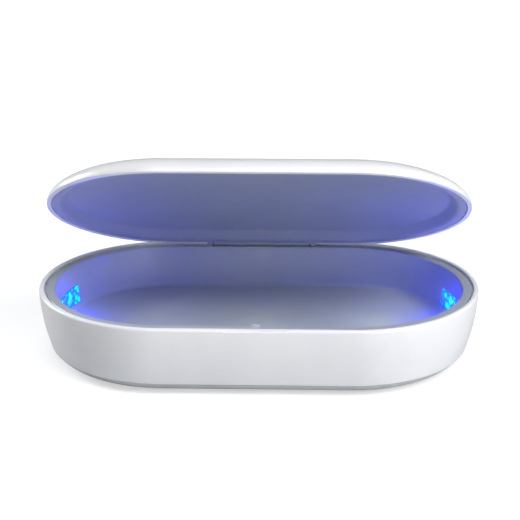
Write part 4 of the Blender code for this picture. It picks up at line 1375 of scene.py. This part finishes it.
@dataclass
class Studio:
    """Camera, lights, floor and background."""

    camera_place: tuple[float, float, float] = (18.124 * MM, -621.291 * MM, 261.753 * MM)
    target: tuple[float, float, float] = (0.72 * MM, 0.0, 45.65 * MM)
    roll: float = math.radians(-0.07)
    focal: float = 94.43
    sensor_width: float = 36.0
    light_aim: tuple[float, float, float] = (0.0, 0.0, 40.0 * MM)
    floor_size: float = 8.0
    floor_lift: float = 0.55
    fade_start: float = 0.15
    fade_end: float = 0.6
    paper: str = "C8CACD"

    def camera(self) -> None:
        """Set up the camera at the photograph's viewpoint."""
        data = bpy.data.cameras.new("camera")
        data.lens = self.focal
        data.sensor_width = self.sensor_width
        data.clip_start = 0.01
        data.clip_end = 20.0
        item = bpy.data.objects.new("camera", data)
        bpy.context.scene.collection.objects.link(item)
        way = Vector(self.target) - Vector(self.camera_place)
        turn = way.to_track_quat("-Z", "Y").to_matrix().to_4x4() @ Matrix.Rotation(self.roll, 4, "Z")
        item.matrix_world = Matrix.Translation(self.camera_place) @ turn
        bpy.context.scene.camera = item

    def add_light(self, name: str, kind: str, place: Vector, aim: Vector, power: float, colour: str,
                  **settings) -> None:
        """Add a light.

        Args:
            name: Name of the light.
            kind: AREA or POINT.
            place: Where it is.
            aim: Point that it faces.
            power: Power in watts.
            colour: sRGB hex colour.
            settings: Further attributes of the light.
        """
        data = bpy.data.lights.new(name, kind)
        data.energy = power
        data.color = linear(colour)[:3]
        for key, value in settings.items():
            setattr(data, key, value)
        item = bpy.data.objects.new(name, data)
        item.location = place
        item.rotation_euler = (aim - place).to_track_quat("-Z", "Y").to_euler()
        bpy.context.scene.collection.objects.link(item)

    def lamp(self, name: str, azimuth: float, height: float, distance: float, size: tuple[float, float],
             power: float, colour: str = "FFFFFF") -> None:
        """Add a soft rectangular light that faces the box.

        Args:
            name: Name of the light.
            azimuth: Degrees from the front towards the right.
            height: Degrees above the middle of the box.
            distance: Distance in metres.
            size: Width and height in metres.
            power: Power in watts.
            colour: sRGB hex colour.
        """
        turn, lift = math.radians(azimuth), math.radians(height)
        way = Vector((math.sin(turn) * math.cos(lift), -math.cos(turn) * math.cos(lift), math.sin(lift)))
        middle = Vector(self.light_aim)
        self.add_light(name, "AREA", middle + way * distance, middle, power, colour, shape="RECTANGLE",
                       size=size[0], size_y=size[1])

    def glow(self, name: str, place: Sequence[float], radius: float, power: float, colour: str) -> None:
        """Add a small round light at a given place, such as where the lamps shine out of a bay."""
        spot = Vector(place)
        self.add_light(name, "POINT", spot, spot - Vector((0, 0, 1)), power, colour, shadow_soft_size=radius)

    def background(self) -> None:
        """Make the world black, and white where the camera or glass looks at it."""
        world = bpy.data.worlds.new("studio_air")
        bpy.context.scene.world = world
        world.use_nodes = True
        tree = world.node_tree
        tree.nodes.clear()
        path = add_node(tree, "LightPath")
        clear = add_node(tree, "Math", {0: path.outputs["Is Camera Ray"], 1: path.outputs["Is Transmission Ray"]},
                         operation="MAXIMUM")
        white = add_node(tree, "Background", {"Color": linear("FFFFFF"), "Strength": clear})
        add_node(tree, "OutputWorld", {"Surface": white})

    def floor(self) -> None:
        """Lay a pale floor that keeps the shadow and is white to the camera farther out."""
        sheet = Piece.start("studio_floor", "plane", size=self.floor_size)
        material = bpy.data.materials.new("pale_studio_paper")
        material.use_nodes = True
        tree = material.node_tree
        reach = add_node(tree, "VectorMath", {0: add_node(tree, "TexCoord").outputs["Object"]}, operation="LENGTH")
        fade = add_node(tree, "MapRange", {"Value": reach.outputs["Value"], "From Min": self.fade_start,
                                           "From Max": self.fade_end, "To Min": self.floor_lift, "To Max": 1.0})
        lift = add_node(tree, "Math", {0: add_node(tree, "LightPath").outputs["Is Camera Ray"], 1: fade},
                        operation="MULTIPLY")
        wire(tree.nodes["Principled BSDF"], {"Base Color": linear(self.paper), "Roughness": 0.9,
                                             "Emission Color": linear("FFFFFF"), "Emission Strength": lift})
        sheet.item.data.materials.append(material)

    def build(self) -> None:
        """Set up the whole studio."""
        bpy.context.scene.view_settings.view_transform = "Standard"
        self.camera()
        self.background()
        self.floor()
        self.lamp("side_right", 70, 45, 1.0, (0.4, 0.4), 1.8, "F8FAFF")
        self.lamp("key_right_front", 35, 6, 1.0, (0.3, 0.12), 2.1)
        self.lamp("key_right_high", 50, 40, 1.0, (0.4, 0.4), 5.6)
        self.lamp("top_front", 0, 60, 1.1, (0.7, 0.4), 2.8)
        self.lamp("front_steep", 0, 75, 1.1, (0.6, 0.25), 1.4)
        self.lamp("edge_left", -115, 20, 0.9, (0.3, 0.4), 5.4)
        self.glow("bay_left", (-93.5 * MM, 0, 18.5 * MM), 2 * MM, 0.039, "0000FF")
        self.glow("bay_right", (93.5 * MM, 0, 18.5 * MM), 2 * MM, 0.052, "0810FF")
        self.glow("tray_middle", (0, 0, 28 * MM), 4 * MM, 0.0015, "FFFFB0")
        self.glow("tray_right", (60 * MM, 0, 28 * MM), 4 * MM, 0.0036, "F0FFC0")


def main() -> None:
    """Build the studio and every piece; each piece logs its face count and finish."""
    logging.basicConfig(level=logging.INFO, format="%(message)s")
    Studio().build()
    for assembly in (BodyShell(), Foot(), Tray(), LampBay(Side.LEFT), LampBay(Side.RIGHT), LidSensor(), Lid(),
                     HingePin(), RearControls(), Workings()):
        assembly.build()


if __name__ == "__main__":
    main()
